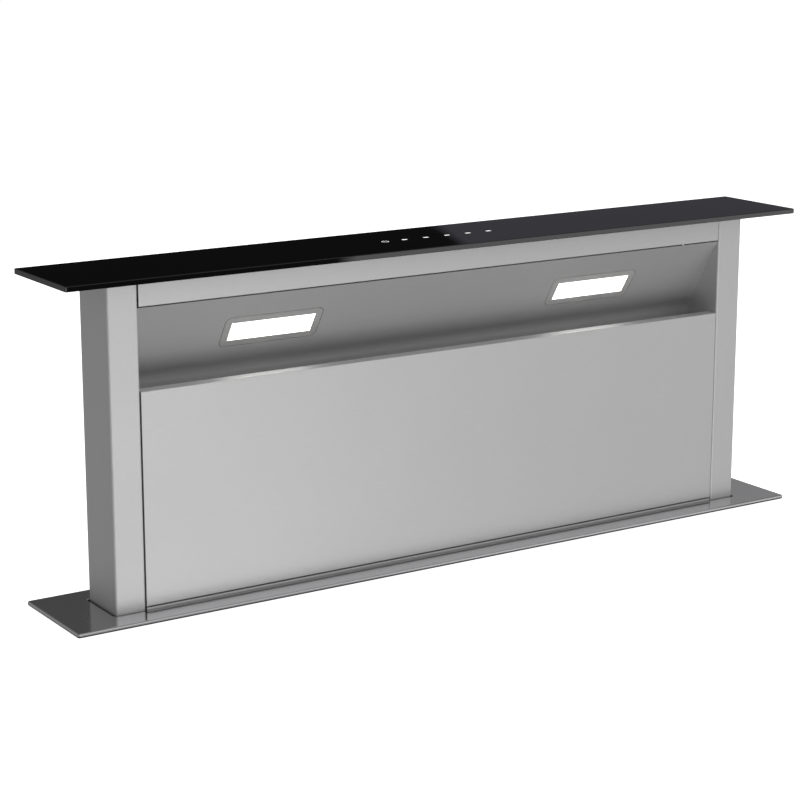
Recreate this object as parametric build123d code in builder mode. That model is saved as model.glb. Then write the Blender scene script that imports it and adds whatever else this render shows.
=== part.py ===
"""A downdraft extraction vent for a kitchen worktop.

The tower with its glass top rises out of a flange in the worktop. The housing below holds the lift, the
blower and the electronics. The origin is the middle of the worktop cut-out, on the worktop's surface; +X is
right, +Y is back and +Z is up. The tower is drawn raised. All sizes are in millimetres.
"""
import os
from math import acos, atan2, cos, pi, radians, sin, tan

from build123d import *

# ---- Worktop flange ------------------------------------------------------------------------------
FLANGE_LENGTH = 900.0
FLANGE_DEPTH = 121.0
FLANGE_HEIGHT = 5.6
FLANGE_SKIN = 1.5
FLANGE_WALL = 3.0
FLANGE_CORNER = 3.0
FLANGE_EDGE = 1.8
FLANGE_LIFT = 1.0
OPENING_GAP = 2.2
OPENING_CORNER = 5.0
OPENING_EDGE = 1.2

# ---- Tower ---------------------------------------------------------------------------------------
TOWER_WIDTH = 791.0
TOWER_DEPTH = 62.0
COLUMN_WIDTH = 32.5
SHEET = 1.2
BEND = 0.8
COLUMN_EDGE = 2.2
GLASS_LENGTH = 900.0
GLASS_DEPTH = 118.5
GLASS_THICKNESS = 5.5
GLASS_TOP = 342.4
GLASS_CORNER = 2.0
GLASS_EDGE = 0.7
GLASS_ARRIS = 0.4
ADHESIVE = 0.8
HEADER_BOTTOM = 309.5
CREASE_Y = 19.7
CREASE_Z = 229.5
CREASE_RADIUS = 18.0
REAR_WALL_BOTTOM = 45.0
PANEL_TOP = 226.5
PANEL_BOTTOM = 9.1
PANEL_LIP = 13.8
RAIL_TOP = 7.9
SEAM = 1.0
TOWER_BOTTOM = -75.0
STROKE = 330.6

# ---- Lamps and touch controls --------------------------------------------------------------------
LAMP_SPACING = 404.0
LAMP_DROP = 1.7
BEZEL_SIZE = (112.0, 38.0)
DIFFUSER_SIZE = (96.0, 23.2)
BEZEL_CORNER = 6.0
BEZEL_GAP = 0.6
LAMP_DEPTH = 10.0
TOUCH_BOARD_SIZE = (170.0, 26.0, 1.6)

# ---- Housing below the worktop -------------------------------------------------------------------
HOUSING_WIDTH = 860.0
HOUSING_DEPTH = 104.0
HOUSING_BOTTOM = -588.0
FOOT_THICKNESS = 2.0
SIDE_LIP = 12.0
SCREW_LEVELS = (-40.0, -170.0, -300.0, -430.0, -560.0)
SCREW_RADIUS = 2.0
SCREW_HEAD_RADIUS = 3.8
SCREW_HEAD_HEIGHT = 2.2

# ---- Lift ----------------------------------------------------------------------------------------
SHAFT_Y = 12.0
SHAFT_Z = -50.0
SHAFT_RADIUS = 5.0
RACK_MODULE = 2.0
PINION_TEETH = 14
RACK_ADDENDUM = 1.5
GEAR_MODULE = 1.0
DRIVE_TEETH = 30
MOTOR_TEETH = 12
DRIVE_ADDENDUM = 0.8
BACKLASH = 0.12
PRESSURE_ANGLE = radians(20)
RACK_X = (402.0, 414.0)
SHOE_Y = (-26.2, -7.8)
SHOE_SLACK = 0.3

# ---- Blower --------------------------------------------------------------------------------------
FAN_X = -30.0
FAN_Y = -134.0
FAN_Z = -442.0
FAN_RADIUS = 85.0
FAN_WIDTH = 80.0
BLADE_COUNT = 30
SCROLL_START = 92.0
SCROLL_END = 138.0
SCROLL_WIDTH = 90.0
TONGUE_ANGLE = -50.0
INLET_RADIUS = 70.0
BOX_X = (-170.0, 170.0)
BOX_Z = (-588.0, -322.0)
BOX_FRONT = -217.0
SPIGOT_RADIUS = 75.0
SPIGOT_WALL = 1.5
SPIGOT_LENGTH = 60.0
SPIGOT_Z = -506.0

# ---- Electronics ---------------------------------------------------------------------------------
CONTROL_X = (-410.0, -220.0)
CONTROL_Z = (-330.0, -130.0)
CONTROL_DEPTH = 40.0
CONTROL_WALL = 2.0
GLAND_X = -280.0
GLAND_BORE = 5.0

# ---- Places worked out from the sizes above ------------------------------------------------------
TOWER_X = TOWER_WIDTH / 2
TOWER_Y = TOWER_DEPTH / 2
COLUMN_INSIDE = TOWER_X - COLUMN_WIDTH
GLASS_UNDERSIDE = GLASS_TOP - GLASS_THICKNESS
TOWER_TOP = GLASS_UNDERSIDE - ADHESIVE
HOUSING_X = HOUSING_WIDTH / 2
HOUSING_Y = HOUSING_DEPTH / 2
HOUSING_TOP = FLANGE_HEIGHT - FLANGE_SKIN
FLOOR_TOP = HOUSING_BOTTOM + SHEET
FOOT_BOTTOM = HOUSING_BOTTOM - FOOT_THICKNESS
OPENING_LENGTH = TOWER_WIDTH + 2 * OPENING_GAP
OPENING_DEPTH = TOWER_DEPTH + 2 * OPENING_GAP
PINION_RADIUS = RACK_MODULE * PINION_TEETH / 2
MOTOR_Y = SHAFT_Y - GEAR_MODULE * (DRIVE_TEETH + MOTOR_TEETH) / 2
SLOPE = atan2(CREASE_Y + TOWER_Y, HEADER_BOTTOM - CREASE_Z)
SLOPE_MIDDLE = ((CREASE_Y - TOWER_Y) / 2, (HEADER_BOTTOM + CREASE_Z) / 2)
LAMP_MIDDLE = (SLOPE_MIDDLE[0] + LAMP_DROP * sin(SLOPE), SLOPE_MIDDLE[1] - LAMP_DROP * cos(SLOPE))

os.makedirs("parts", exist_ok=True)


def block(x, y, z, mode=Mode.ADD):
    """Fill the ranges x, y and z with a box in the part that is being built."""
    with Locations([(sum(x) / 2, sum(y) / 2, sum(z) / 2)]):
        Box(x[1] - x[0], y[1] - y[0], z[1] - z[0], mode=mode)


def rod(start, axis, radius, length, mode=Mode.ADD):
    """Add a round rod from start along axis to the part that is being built."""
    turn = {"X": (0, 90, 0), "Y": (-90, 0, 0), "Z": (0, 0, 0)}[axis]
    with Locations(Location(start, turn)):
        Cylinder(radius, length, align=(Align.CENTER, Align.CENTER, Align.MIN), mode=mode)


def front_edges(piece):
    """Return a piece's level edges on the front face of the tower, the lowest first."""
    level_edges = piece.edges().filter_by(Axis.X).sort_by(Axis.Z)
    return [edge for edge in level_edges if edge.center().Y < 0.1 - TOWER_Y]


def finish(piece, label):
    """Name a finished piece and write it."""
    piece.part.label = label
    export_step(piece.part, f"parts/{label}.step")


# ---- Worktop flange with its seals ---------------------------------------------------------------
# The rolled rim stands FLANGE_LIFT clear of the worktop, because the gasket inside it carries the flange.
with BuildPart() as worktop_flange:
    with BuildSketch(Plane.XY.offset(FLANGE_LIFT)):
        RectangleRounded(FLANGE_LENGTH, FLANGE_DEPTH, FLANGE_CORNER)
        RectangleRounded(OPENING_LENGTH, OPENING_DEPTH, OPENING_CORNER, mode=Mode.SUBTRACT)
    extrude(amount=FLANGE_HEIGHT - FLANGE_LIFT)
    for level in (-1, 0):
        rim_face = worktop_flange.faces().filter_by(Axis.Z).sort_by(Axis.Z)[level]
        fillet(rim_face.outer_wire().edges(), FLANGE_EDGE)
    upper_face = worktop_flange.faces().filter_by(Axis.Z).sort_by(Axis.Z)[-1]
    fillet(upper_face.inner_wires().edges(), OPENING_EDGE)
    with BuildSketch():
        Rectangle(FLANGE_LENGTH - 2 * FLANGE_WALL, FLANGE_DEPTH - 2 * FLANGE_WALL)
        rim = (OPENING_LENGTH + 2 * FLANGE_SKIN, OPENING_DEPTH + 2 * FLANGE_SKIN)
        RectangleRounded(*rim, OPENING_CORNER, mode=Mode.SUBTRACT)
    extrude(amount=HOUSING_TOP, mode=Mode.SUBTRACT)
finish(worktop_flange, "worktop_flange")

GASKET_INSET = 5.0
GASKET_INSIDE = 2.2
with BuildPart() as flange_gasket:
    with BuildSketch():
        Rectangle(FLANGE_LENGTH - 2 * GASKET_INSET, FLANGE_DEPTH - 2 * GASKET_INSET)
    extrude(amount=HOUSING_TOP)
    with BuildSketch():
        Rectangle(HOUSING_WIDTH + 2 * GASKET_INSIDE, HOUSING_DEPTH + 2 * GASKET_INSIDE)
    extrude(amount=HOUSING_TOP, mode=Mode.SUBTRACT)
finish(flange_gasket, "flange_gasket")

WIPER_GAP = 0.6
WIPER_WIDTH = 6.0
WIPER_HEIGHT = 9.0
with BuildPart() as wiper_seal:
    with BuildSketch(Plane.XY.offset(-WIPER_HEIGHT)):
        Rectangle(TOWER_WIDTH + 2 * WIPER_WIDTH, TOWER_DEPTH + 2 * WIPER_WIDTH)
        Rectangle(TOWER_WIDTH + 2 * WIPER_GAP, TOWER_DEPTH + 2 * WIPER_GAP, mode=Mode.SUBTRACT)
    extrude(amount=WIPER_HEIGHT)
finish(wiper_seal, "wiper_seal")

# ---- Housing panels ------------------------------------------------------------------------------
SCREW_X = HOUSING_X - SHEET - SIDE_LIP / 2
AIR_WINDOW_X = (-150.0, 150.0)
AIR_WINDOW_Z = (-570.0, -420.0)


def screw_places():
    """Return the x and z of every screw in one long housing panel."""
    return [(side * SCREW_X, level) for side in (-1, 1) for level in SCREW_LEVELS]


with BuildPart() as housing_front:
    block((-HOUSING_X, HOUSING_X), (-HOUSING_Y, SHEET - HOUSING_Y), (HOUSING_BOTTOM, HOUSING_TOP))
    block(AIR_WINDOW_X, (-HOUSING_Y, SHEET - HOUSING_Y), AIR_WINDOW_Z, mode=Mode.SUBTRACT)
    for x, z in screw_places():
        rod((x, -HOUSING_Y, z), "Y", SCREW_RADIUS, SHEET, mode=Mode.SUBTRACT)
finish(housing_front, "housing_front")

with BuildPart() as housing_rear:
    block((-HOUSING_X, HOUSING_X), (HOUSING_Y - SHEET, HOUSING_Y), (HOUSING_BOTTOM, HOUSING_TOP))
    for x, z in screw_places():
        rod((x, HOUSING_Y - SHEET, z), "Y", SCREW_RADIUS, SHEET, mode=Mode.SUBTRACT)
finish(housing_rear, "housing_rear")

for side, label in ((-1, "housing_left"), (1, "housing_right")):
    with BuildPart() as housing_side:
        block(
            sorted((side * HOUSING_X, side * (HOUSING_X - SHEET))),
            (SHEET - HOUSING_Y, HOUSING_Y - SHEET),
            (HOUSING_BOTTOM, HOUSING_TOP),
        )
        lip_x = sorted((side * (HOUSING_X - SHEET), side * (HOUSING_X - SHEET - SIDE_LIP)))
        for face_y in (SHEET - HOUSING_Y, HOUSING_Y - 2 * SHEET):
            block(lip_x, (face_y, face_y + SHEET), (HOUSING_BOTTOM + 2 * SHEET, HOUSING_TOP))
            for level in SCREW_LEVELS:
                rod((side * SCREW_X, face_y, level), "Y", SCREW_RADIUS, SHEET, mode=Mode.SUBTRACT)
    finish(housing_side, label)

with BuildPart() as housing_floor:
    inside_x = (SHEET - HOUSING_X, HOUSING_X - SHEET)
    inside_y = (SHEET - HOUSING_Y, HOUSING_Y - SHEET)
    block(inside_x, inside_y, (HOUSING_BOTTOM, FLOOR_TOP))
finish(housing_floor, "housing_floor")

SCREW_LENGTH = 2.5 * SHEET
SCREW_HEAD_ROUND = 0.8
with BuildPart() as housing_screws:
    for x, z in screw_places():
        rod((x, -HOUSING_Y - SCREW_HEAD_HEIGHT, z), "Y", SCREW_HEAD_RADIUS, SCREW_HEAD_HEIGHT)
        rod((x, -HOUSING_Y, z), "Y", SCREW_RADIUS, SCREW_LENGTH)
        rod((x, HOUSING_Y, z), "Y", SCREW_HEAD_RADIUS, SCREW_HEAD_HEIGHT)
        rod((x, HOUSING_Y - SCREW_LENGTH, z), "Y", SCREW_RADIUS, SCREW_LENGTH)
    round_edges = housing_screws.edges().filter_by(GeomType.CIRCLE)
    head_rims = round_edges.filter_by(lambda e: e.radius > SCREW_RADIUS)
    fillet(head_rims.group_by(Axis.Y)[0] + head_rims.group_by(Axis.Y)[-1], SCREW_HEAD_ROUND)
finish(housing_screws, "housing_screws")

FOOT_X = 320.0
FOOT_WIDTH = 40.0
FOOT_FRONT = -210.0
FOOT_HOLES_Y = (-190.0, -80.0)
FOOT_HOLE_RADIUS = 3.25
FOOT_RISER = 60.0
with BuildPart() as floor_feet:
    for side in (-1, 1):
        foot_x = (side * FOOT_X - FOOT_WIDTH / 2, side * FOOT_X + FOOT_WIDTH / 2)
        block(foot_x, (FOOT_FRONT, HOUSING_Y), (FOOT_BOTTOM, HOUSING_BOTTOM))
        block(foot_x, (-HOUSING_Y - FOOT_THICKNESS, -HOUSING_Y), (FOOT_BOTTOM, HOUSING_BOTTOM + FOOT_RISER))
        for hole_y in FOOT_HOLES_Y:
            hole = (side * FOOT_X, hole_y, FOOT_BOTTOM)
            rod(hole, "Z", FOOT_HOLE_RADIUS, FOOT_THICKNESS, mode=Mode.SUBTRACT)
finish(floor_feet, "floor_feet")

# ---- Clamps that pull the flange down on the worktop ---------------------------------------------
CLAMP_Y = 32.0
CLAMP_WIDTH = 24.0
CLAMP_THICKNESS = 2.0
CLAMP_Z = (-84.0, -34.0)
CLAMP_SCREW_X = HOUSING_X + 11.0
CLAMP_SCREW_RADIUS = 3.0
CLAMP_REACH = 18.0
CLAMP_PLACES = [(x, y) for x in (-1, 1) for y in (-CLAMP_Y, CLAMP_Y)]

with BuildPart() as worktop_clamps:
    for side, y in CLAMP_PLACES:
        clamp_y = (y - CLAMP_WIDTH / 2, y + CLAMP_WIDTH / 2)
        leg_x = sorted((side * HOUSING_X, side * (HOUSING_X + CLAMP_THICKNESS)))
        ledge_x = sorted((side * HOUSING_X, side * (HOUSING_X + CLAMP_REACH)))
        screw_hole = (side * CLAMP_SCREW_X, y, CLAMP_Z[0])
        block(leg_x, clamp_y, CLAMP_Z)
        block(ledge_x, clamp_y, (CLAMP_Z[0], CLAMP_Z[0] + CLAMP_THICKNESS))
        rod(screw_hole, "Z", CLAMP_SCREW_RADIUS, CLAMP_THICKNESS, mode=Mode.SUBTRACT)
finish(worktop_clamps, "worktop_clamps")

CLAMP_HEAD = (6.0, 4.0)
CLAMP_PAD = (7.5, 3.0)
CLAMP_SCREW_Z = (-100.0, -45.0)
with BuildPart() as clamp_screws:
    for side, y in CLAMP_PLACES:
        screw_x = side * CLAMP_SCREW_X
        rod((screw_x, y, CLAMP_SCREW_Z[0] - CLAMP_HEAD[1]), "Z", *CLAMP_HEAD)
        rod((screw_x, y, CLAMP_SCREW_Z[0]), "Z", CLAMP_SCREW_RADIUS, CLAMP_SCREW_Z[1] - CLAMP_SCREW_Z[0])
        rod((screw_x, y, CLAMP_SCREW_Z[1]), "Z", *CLAMP_PAD)
finish(clamp_screws, "clamp_screws")

# ---- Guides, racks and stops in the housing ------------------------------------------------------
RAIL_THICKNESS = 2.0
RAIL_X = (402.0, HOUSING_X - SHEET)
RAIL_Y = (SHOE_Y[0] - SHOE_SLACK, SHOE_Y[1] + SHOE_SLACK)
RAIL_Z = (FLOOR_TOP, -12.0)

with BuildPart() as guide_rails:
    web_y = (RAIL_Y[0] - RAIL_THICKNESS, RAIL_Y[1] + RAIL_THICKNESS)
    block((RAIL_X[1] - RAIL_THICKNESS, RAIL_X[1]), web_y, RAIL_Z)
    for leg_y in (RAIL_Y[0] - RAIL_THICKNESS, RAIL_Y[1]):
        block(RAIL_X, (leg_y, leg_y + RAIL_THICKNESS), RAIL_Z)
    mirror(about=Plane.YZ)
finish(guide_rails, "guide_rails")

RACK_PITCH = pi * RACK_MODULE
RACK_LINE = SHAFT_Y + PINION_RADIUS
RACK_BACK = RACK_LINE + 10.0
RACK_TOOTH_COUNT = 63
RACK_FIRST = SHAFT_Z + 5.5 * RACK_PITCH


def rack_outline():
    """Return the (y, z) corners of a rack whose teeth face forwards."""
    half = RACK_PITCH / 4 - BACKLASH / 2
    root_half = half + 1.25 * RACK_MODULE * tan(PRESSURE_ANGLE)
    tip_half = half - RACK_ADDENDUM * tan(PRESSURE_ANGLE)
    root_y = RACK_LINE + 1.25 * RACK_MODULE
    tip_y = RACK_LINE - RACK_ADDENDUM
    corners = [(RACK_BACK, RACK_FIRST + RACK_PITCH / 2), (root_y, RACK_FIRST + RACK_PITCH / 2)]
    for tooth in range(RACK_TOOTH_COUNT):
        middle = RACK_FIRST - tooth * RACK_PITCH
        corners += [(root_y, middle + root_half), (tip_y, middle + tip_half)]
        corners += [(tip_y, middle - tip_half), (root_y, middle - root_half)]
    foot = RACK_FIRST - (RACK_TOOTH_COUNT - 0.5) * RACK_PITCH
    return corners + [(root_y, foot), (RACK_BACK, foot)]


RACK_TOP = RACK_FIRST + RACK_PITCH / 2
RACK_FOOT = RACK_FIRST - (RACK_TOOTH_COUNT - 0.5) * RACK_PITCH
with BuildPart() as lift_racks:
    with BuildSketch(Plane.YZ.offset(RACK_X[0])):
        with BuildLine():
            Polyline(*rack_outline(), close=True)
        make_face()
    extrude(amount=RACK_X[1] - RACK_X[0])
    block((RACK_X[1], HOUSING_X - SHEET), (RACK_LINE + 1.25 * RACK_MODULE, RACK_BACK), (RACK_FOOT, RACK_TOP))
    mirror(about=Plane.YZ)
finish(lift_racks, "lift_racks")

SHOE_X = (TOWER_X, RAIL_X[1] - RAIL_THICKNESS - SHOE_SLACK)
SHOE_LEVELS = ((TOWER_BOTTOM + 2, TOWER_BOTTOM + 22), (-40.0, -20.0))
STOP_GAP = 0.4
STOP_HEIGHT = 7.0
with BuildPart() as travel_buffers:
    low_stop = SHOE_LEVELS[0][0] - STROKE - STOP_GAP
    high_stop = SHOE_LEVELS[1][1] + STOP_GAP
    for base_z in (low_stop - STOP_HEIGHT, high_stop):
        block((RAIL_X[0], RAIL_X[1] - RAIL_THICKNESS), RAIL_Y, (base_z, base_z + STOP_HEIGHT))
    mirror(about=Plane.YZ)
finish(travel_buffers, "travel_buffers")

PAD_GAP = 0.4
PAD_X = 300.0
PAD_WIDTH = 30.0
PAD_Z = (-40.0, -14.0)
with BuildPart() as glide_pads:
    for pad_middle in (-PAD_X, PAD_X):
        for side in (-1, 1):
            block(
                (pad_middle - PAD_WIDTH / 2, pad_middle + PAD_WIDTH / 2),
                sorted((side * (TOWER_Y + PAD_GAP), side * (HOUSING_Y - SHEET))),
                PAD_Z,
            )
finish(glide_pads, "glide_pads")

SENSOR_X = 180.0
SENSOR_SIZE = (24.0, 9.0, 14.0)
with BuildPart() as limit_sensors:
    for level in (TOWER_BOTTOM, TOWER_BOTTOM - STROKE):
        block(
            (SENSOR_X, SENSOR_X + SENSOR_SIZE[0]),
            (HOUSING_Y - SHEET - SENSOR_SIZE[1], HOUSING_Y - SHEET),
            (level, level + SENSOR_SIZE[2]),
        )
finish(limit_sensors, "limit_sensors")

CABLE_X = -325.0
CABLE_FOLDS = 14
CABLE_SWING = 22.0
CABLE_THICKNESS = 1.6
CABLE_WIDTH = 20.0
CABLE_TRIM_X = (CABLE_X - 30, CABLE_X + 30)
FOLD_HEIGHT = (TOWER_BOTTOM - FLOOR_TOP) / CABLE_FOLDS


def fold_point(fold):
    """Return the (x, z) of one fold of the flat cable; the two ends hang straight below each other."""
    swing = CABLE_SWING * (-1) ** fold if 0 < fold < CABLE_FOLDS else 0
    return (CABLE_X + swing, FLOOR_TOP + fold * FOLD_HEIGHT)


with BuildPart() as flex_cable:
    with BuildSketch(Plane.XZ.offset(-CABLE_WIDTH / 2)):
        with BuildLine():
            Polyline(*[fold_point(fold) for fold in range(CABLE_FOLDS + 1)])
        trace(line_width=CABLE_THICKNESS)
    extrude(amount=CABLE_WIDTH)
    for trim_z in ((TOWER_BOTTOM, TOWER_BOTTOM + 20), (FLOOR_TOP - 20, FLOOR_TOP)):
        block(CABLE_TRIM_X, (-CABLE_WIDTH, CABLE_WIDTH), trim_z, mode=Mode.SUBTRACT)
finish(flex_cable, "flex_cable")

# ---- Blower box ----------------------------------------------------------------------------------
OUTLET_Z = (-572.0, -440.0)
OUTLET_Y = (FAN_Y - SCROLL_WIDTH / 2 + SHEET, FAN_Y + SCROLL_WIDTH / 2 - SHEET)
with BuildPart() as blower_box:
    box_y = (BOX_FRONT, -HOUSING_Y)
    hollow_x = (BOX_X[0] + SHEET, BOX_X[1] - SHEET)
    hollow_z = (BOX_Z[0] + SHEET, BOX_Z[1] - SHEET)
    block(BOX_X, box_y, BOX_Z)
    block(hollow_x, box_y, hollow_z, mode=Mode.SUBTRACT)
    block((BOX_X[1] - SHEET, BOX_X[1]), OUTLET_Y, OUTLET_Z, mode=Mode.SUBTRACT)
finish(blower_box, "blower_box")

COVER_LIP = 6.0
COVER_PANEL = (260.0, 190.0)
COVER_PANEL_CORNER = 12.0
COVER_PANEL_RISE = 1.5
with BuildPart() as blower_cover:
    block((BOX_X[0] - COVER_LIP, BOX_X[1] + COVER_LIP), (BOX_FRONT - SHEET, BOX_FRONT), BOX_Z)
    outer_face = blower_cover.faces().sort_by(Axis.Y)[0]
    with BuildSketch(Plane(outer_face)):
        RectangleRounded(*COVER_PANEL, COVER_PANEL_CORNER)
    extrude(amount=COVER_PANEL_RISE)
finish(blower_cover, "blower_cover")


def scroll_point(angle):
    """Return the scroll's (x, z) at an angle in degrees from +X towards +Z; its radius grows evenly."""
    turned = (angle - TONGUE_ANGLE) / (270 - TONGUE_ANGLE)
    reach = SCROLL_START * (SCROLL_END / SCROLL_START) ** turned
    return (FAN_X + reach * cos(radians(angle)), FAN_Z + reach * sin(radians(angle)))


OUTLET_X = BOX_X[1] - SHEET
SCROLL_ARCS = 8
ARC_TURN = (270 - TONGUE_ANGLE) / SCROLL_ARCS
SCROLL_BACK = FAN_Y + SCROLL_WIDTH / 2
OUTLET_FOOT = FAN_Z - SCROLL_END - SHEET / 2
SCROLL_FRONT = FAN_Y - SCROLL_WIDTH / 2

OUTLET_TRIM = (10.0, 200.0)
VOLUTE_FOOT_X = (-60.0, 0.0)
VOLUTE_FOOT_DEPTH = 32.0

with BuildSketch() as air_passage:
    with BuildLine():
        for arc in range(SCROLL_ARCS):
            turn = TONGUE_ANGLE + arc * ARC_TURN
            ThreePointArc(*[scroll_point(turn + part * ARC_TURN) for part in (0, 0.5, 1)])
        Polyline(
            scroll_point(270), (OUTLET_X, OUTLET_Z[0]), (OUTLET_X, OUTLET_Z[1]), scroll_point(TONGUE_ANGLE)
        )
    make_face()

with BuildSketch() as volute_outline:
    add(air_passage.sketch_local)
    offset(amount=SHEET, kind=Kind.ARC)
    with Locations((OUTLET_X + OUTLET_TRIM[0] / 2, SPIGOT_Z)):
        Rectangle(*OUTLET_TRIM, mode=Mode.SUBTRACT)

with BuildSketch() as scroll_rim:
    add(volute_outline.sketch_local)
    add(air_passage.sketch_local, mode=Mode.SUBTRACT)

with BuildPart() as volute_shell:
    with BuildSketch(Plane.XZ.offset(-SCROLL_BACK)):
        add(volute_outline.sketch_local)
        with Locations((FAN_X, FAN_Z)):
            Circle(INLET_RADIUS, mode=Mode.SUBTRACT)
    extrude(amount=SHEET)
    with BuildSketch(Plane.XZ.offset(-SCROLL_BACK)):
        add(scroll_rim.sketch_local)
    extrude(amount=SCROLL_WIDTH)
    foot_y = (FAN_Y - VOLUTE_FOOT_DEPTH / 2, FAN_Y + VOLUTE_FOOT_DEPTH / 2)
    block(VOLUTE_FOOT_X, foot_y, (BOX_Z[0] + SHEET, OUTLET_FOOT))
finish(volute_shell, "volute_shell")

with BuildPart() as volute_cover:
    with BuildSketch(Plane.XZ.offset(-SCROLL_FRONT)):
        add(volute_outline.sketch_local)
        with Locations((FAN_X, FAN_Z)):
            Circle(INLET_RADIUS, mode=Mode.SUBTRACT)
    extrude(amount=SHEET)
finish(volute_cover, "volute_cover")

# ---- Fan -----------------------------------------------------------------------------------------
MOTOR_FRONT = -206.0
MOTOR_LENGTH = 62.0
MOTOR_RADIUS = 38.0
FAN_SHAFT_RADIUS = 4.0
RUNNING_CLEARANCE = 0.05
MOTOR_ROUND = 4.0
ARM_REACH = 84.0
ARM_WIDTH = 14.0
ARM_THICKNESS = 2.0
SHAFT_SEAT = 20.0
SHAFT_INSIDE = 18.0
MOTOR_BACK = MOTOR_FRONT + MOTOR_LENGTH
ARM_BACK = SCROLL_FRONT - SHEET
with BuildPart() as fan_motor:
    rod((FAN_X, MOTOR_FRONT, FAN_Z), "Y", MOTOR_RADIUS, MOTOR_LENGTH)
    fillet(fan_motor.edges().filter_by(GeomType.CIRCLE), MOTOR_ROUND)
    with BuildSketch(Plane.XZ.offset(-ARM_BACK)):
        with Locations((FAN_X, FAN_Z)):
            with PolarLocations(0, 3, start_angle=90):
                with Locations((ARM_REACH / 2, 0)):
                    Rectangle(ARM_REACH, ARM_WIDTH)
    extrude(amount=ARM_THICKNESS)
    shaft_seat = (FAN_X, MOTOR_BACK - SHAFT_SEAT, FAN_Z)
    rod(shaft_seat, "Y", FAN_SHAFT_RADIUS + RUNNING_CLEARANCE, SHAFT_SEAT, mode=Mode.SUBTRACT)
finish(fan_motor, "fan_motor")

HUB_BACK = FAN_Y + 12
with BuildPart() as fan_shaft:
    shaft_front = MOTOR_BACK - SHAFT_INSIDE
    rod((FAN_X, shaft_front, FAN_Z), "Y", FAN_SHAFT_RADIUS, HUB_BACK - shaft_front)
finish(fan_shaft, "fan_shaft")

BLADE_INNER = 68.0
RING_THICKNESS = 2.0
BLADE_LENGTH = FAN_WIDTH - 2 * RING_THICKNESS
with BuildSketch() as fan_blade:
    with BuildLine():
        blade_face = ThreePointArc((BLADE_INNER + 0.5, 0), (76.5, 2.2), (FAN_RADIUS - 0.6, 7.5))
        blade_back = ThreePointArc(blade_face @ 1, (76.3, 3.3), (BLADE_INNER + 0.5, 1.2))
        Line(blade_back @ 1, blade_face @ 0)
    make_face()

with BuildPart() as impeller_blades:
    with BuildSketch(Plane.XZ.offset(-FAN_Y - BLADE_LENGTH / 2)):
        with Locations((FAN_X, FAN_Z)):
            with PolarLocations(0, BLADE_COUNT):
                add(fan_blade.sketch_local)
    extrude(amount=BLADE_LENGTH)
finish(impeller_blades, "impeller_blades")

HUB_RADIUS = 13.0
HUB_FRONT = FAN_Y - 5.0
HUB_PLATE = 2.0
with BuildPart() as impeller:
    for ring_y in (FAN_Y - FAN_WIDTH / 2, FAN_Y + BLADE_LENGTH / 2):
        rod((FAN_X, ring_y, FAN_Z), "Y", FAN_RADIUS, RING_THICKNESS)
        rod((FAN_X, ring_y, FAN_Z), "Y", BLADE_INNER, RING_THICKNESS, mode=Mode.SUBTRACT)
    rod((FAN_X, FAN_Y - HUB_PLATE / 2, FAN_Z), "Y", BLADE_INNER + 0.5, HUB_PLATE)
    rod((FAN_X, HUB_FRONT, FAN_Z), "Y", HUB_RADIUS, HUB_BACK - HUB_FRONT)
    rod((FAN_X, HUB_FRONT, FAN_Z), "Y", FAN_SHAFT_RADIUS, HUB_BACK - HUB_FRONT, mode=Mode.SUBTRACT)
finish(impeller, "impeller")

# ---- Outlet collar with its two non-return flaps -------------------------------------------------
COLLAR_PLATE_X = (BOX_X[1], BOX_X[1] + 1.5)
COLLAR_END = COLLAR_PLATE_X[1] + SPIGOT_LENGTH
SPIGOT_BORE = SPIGOT_RADIUS - SPIGOT_WALL
PIN_X = COLLAR_PLATE_X[1] + 8.0
PIN_RADIUS = 2.0
with BuildPart() as outlet_collar:
    block(COLLAR_PLATE_X, (FAN_Y - 78, FAN_Y + 78), (SPIGOT_Z - 78, SPIGOT_Z + 78))
    rod((COLLAR_PLATE_X[1], FAN_Y, SPIGOT_Z), "X", SPIGOT_RADIUS, SPIGOT_LENGTH)
    rod((COLLAR_PLATE_X[0], FAN_Y, SPIGOT_Z), "X", SPIGOT_BORE, COLLAR_END, mode=Mode.SUBTRACT)
    rod((PIN_X, FAN_Y, SPIGOT_Z - SPIGOT_RADIUS), "Z", PIN_RADIUS, 2 * SPIGOT_RADIUS, mode=Mode.SUBTRACT)
finish(outlet_collar, "outlet_collar")

with BuildPart() as flap_pin:
    rod((PIN_X, FAN_Y, SPIGOT_Z - SPIGOT_RADIUS + 0.3), "Z", PIN_RADIUS, 2 * SPIGOT_RADIUS - 0.6)
finish(flap_pin, "flap_pin")

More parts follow.
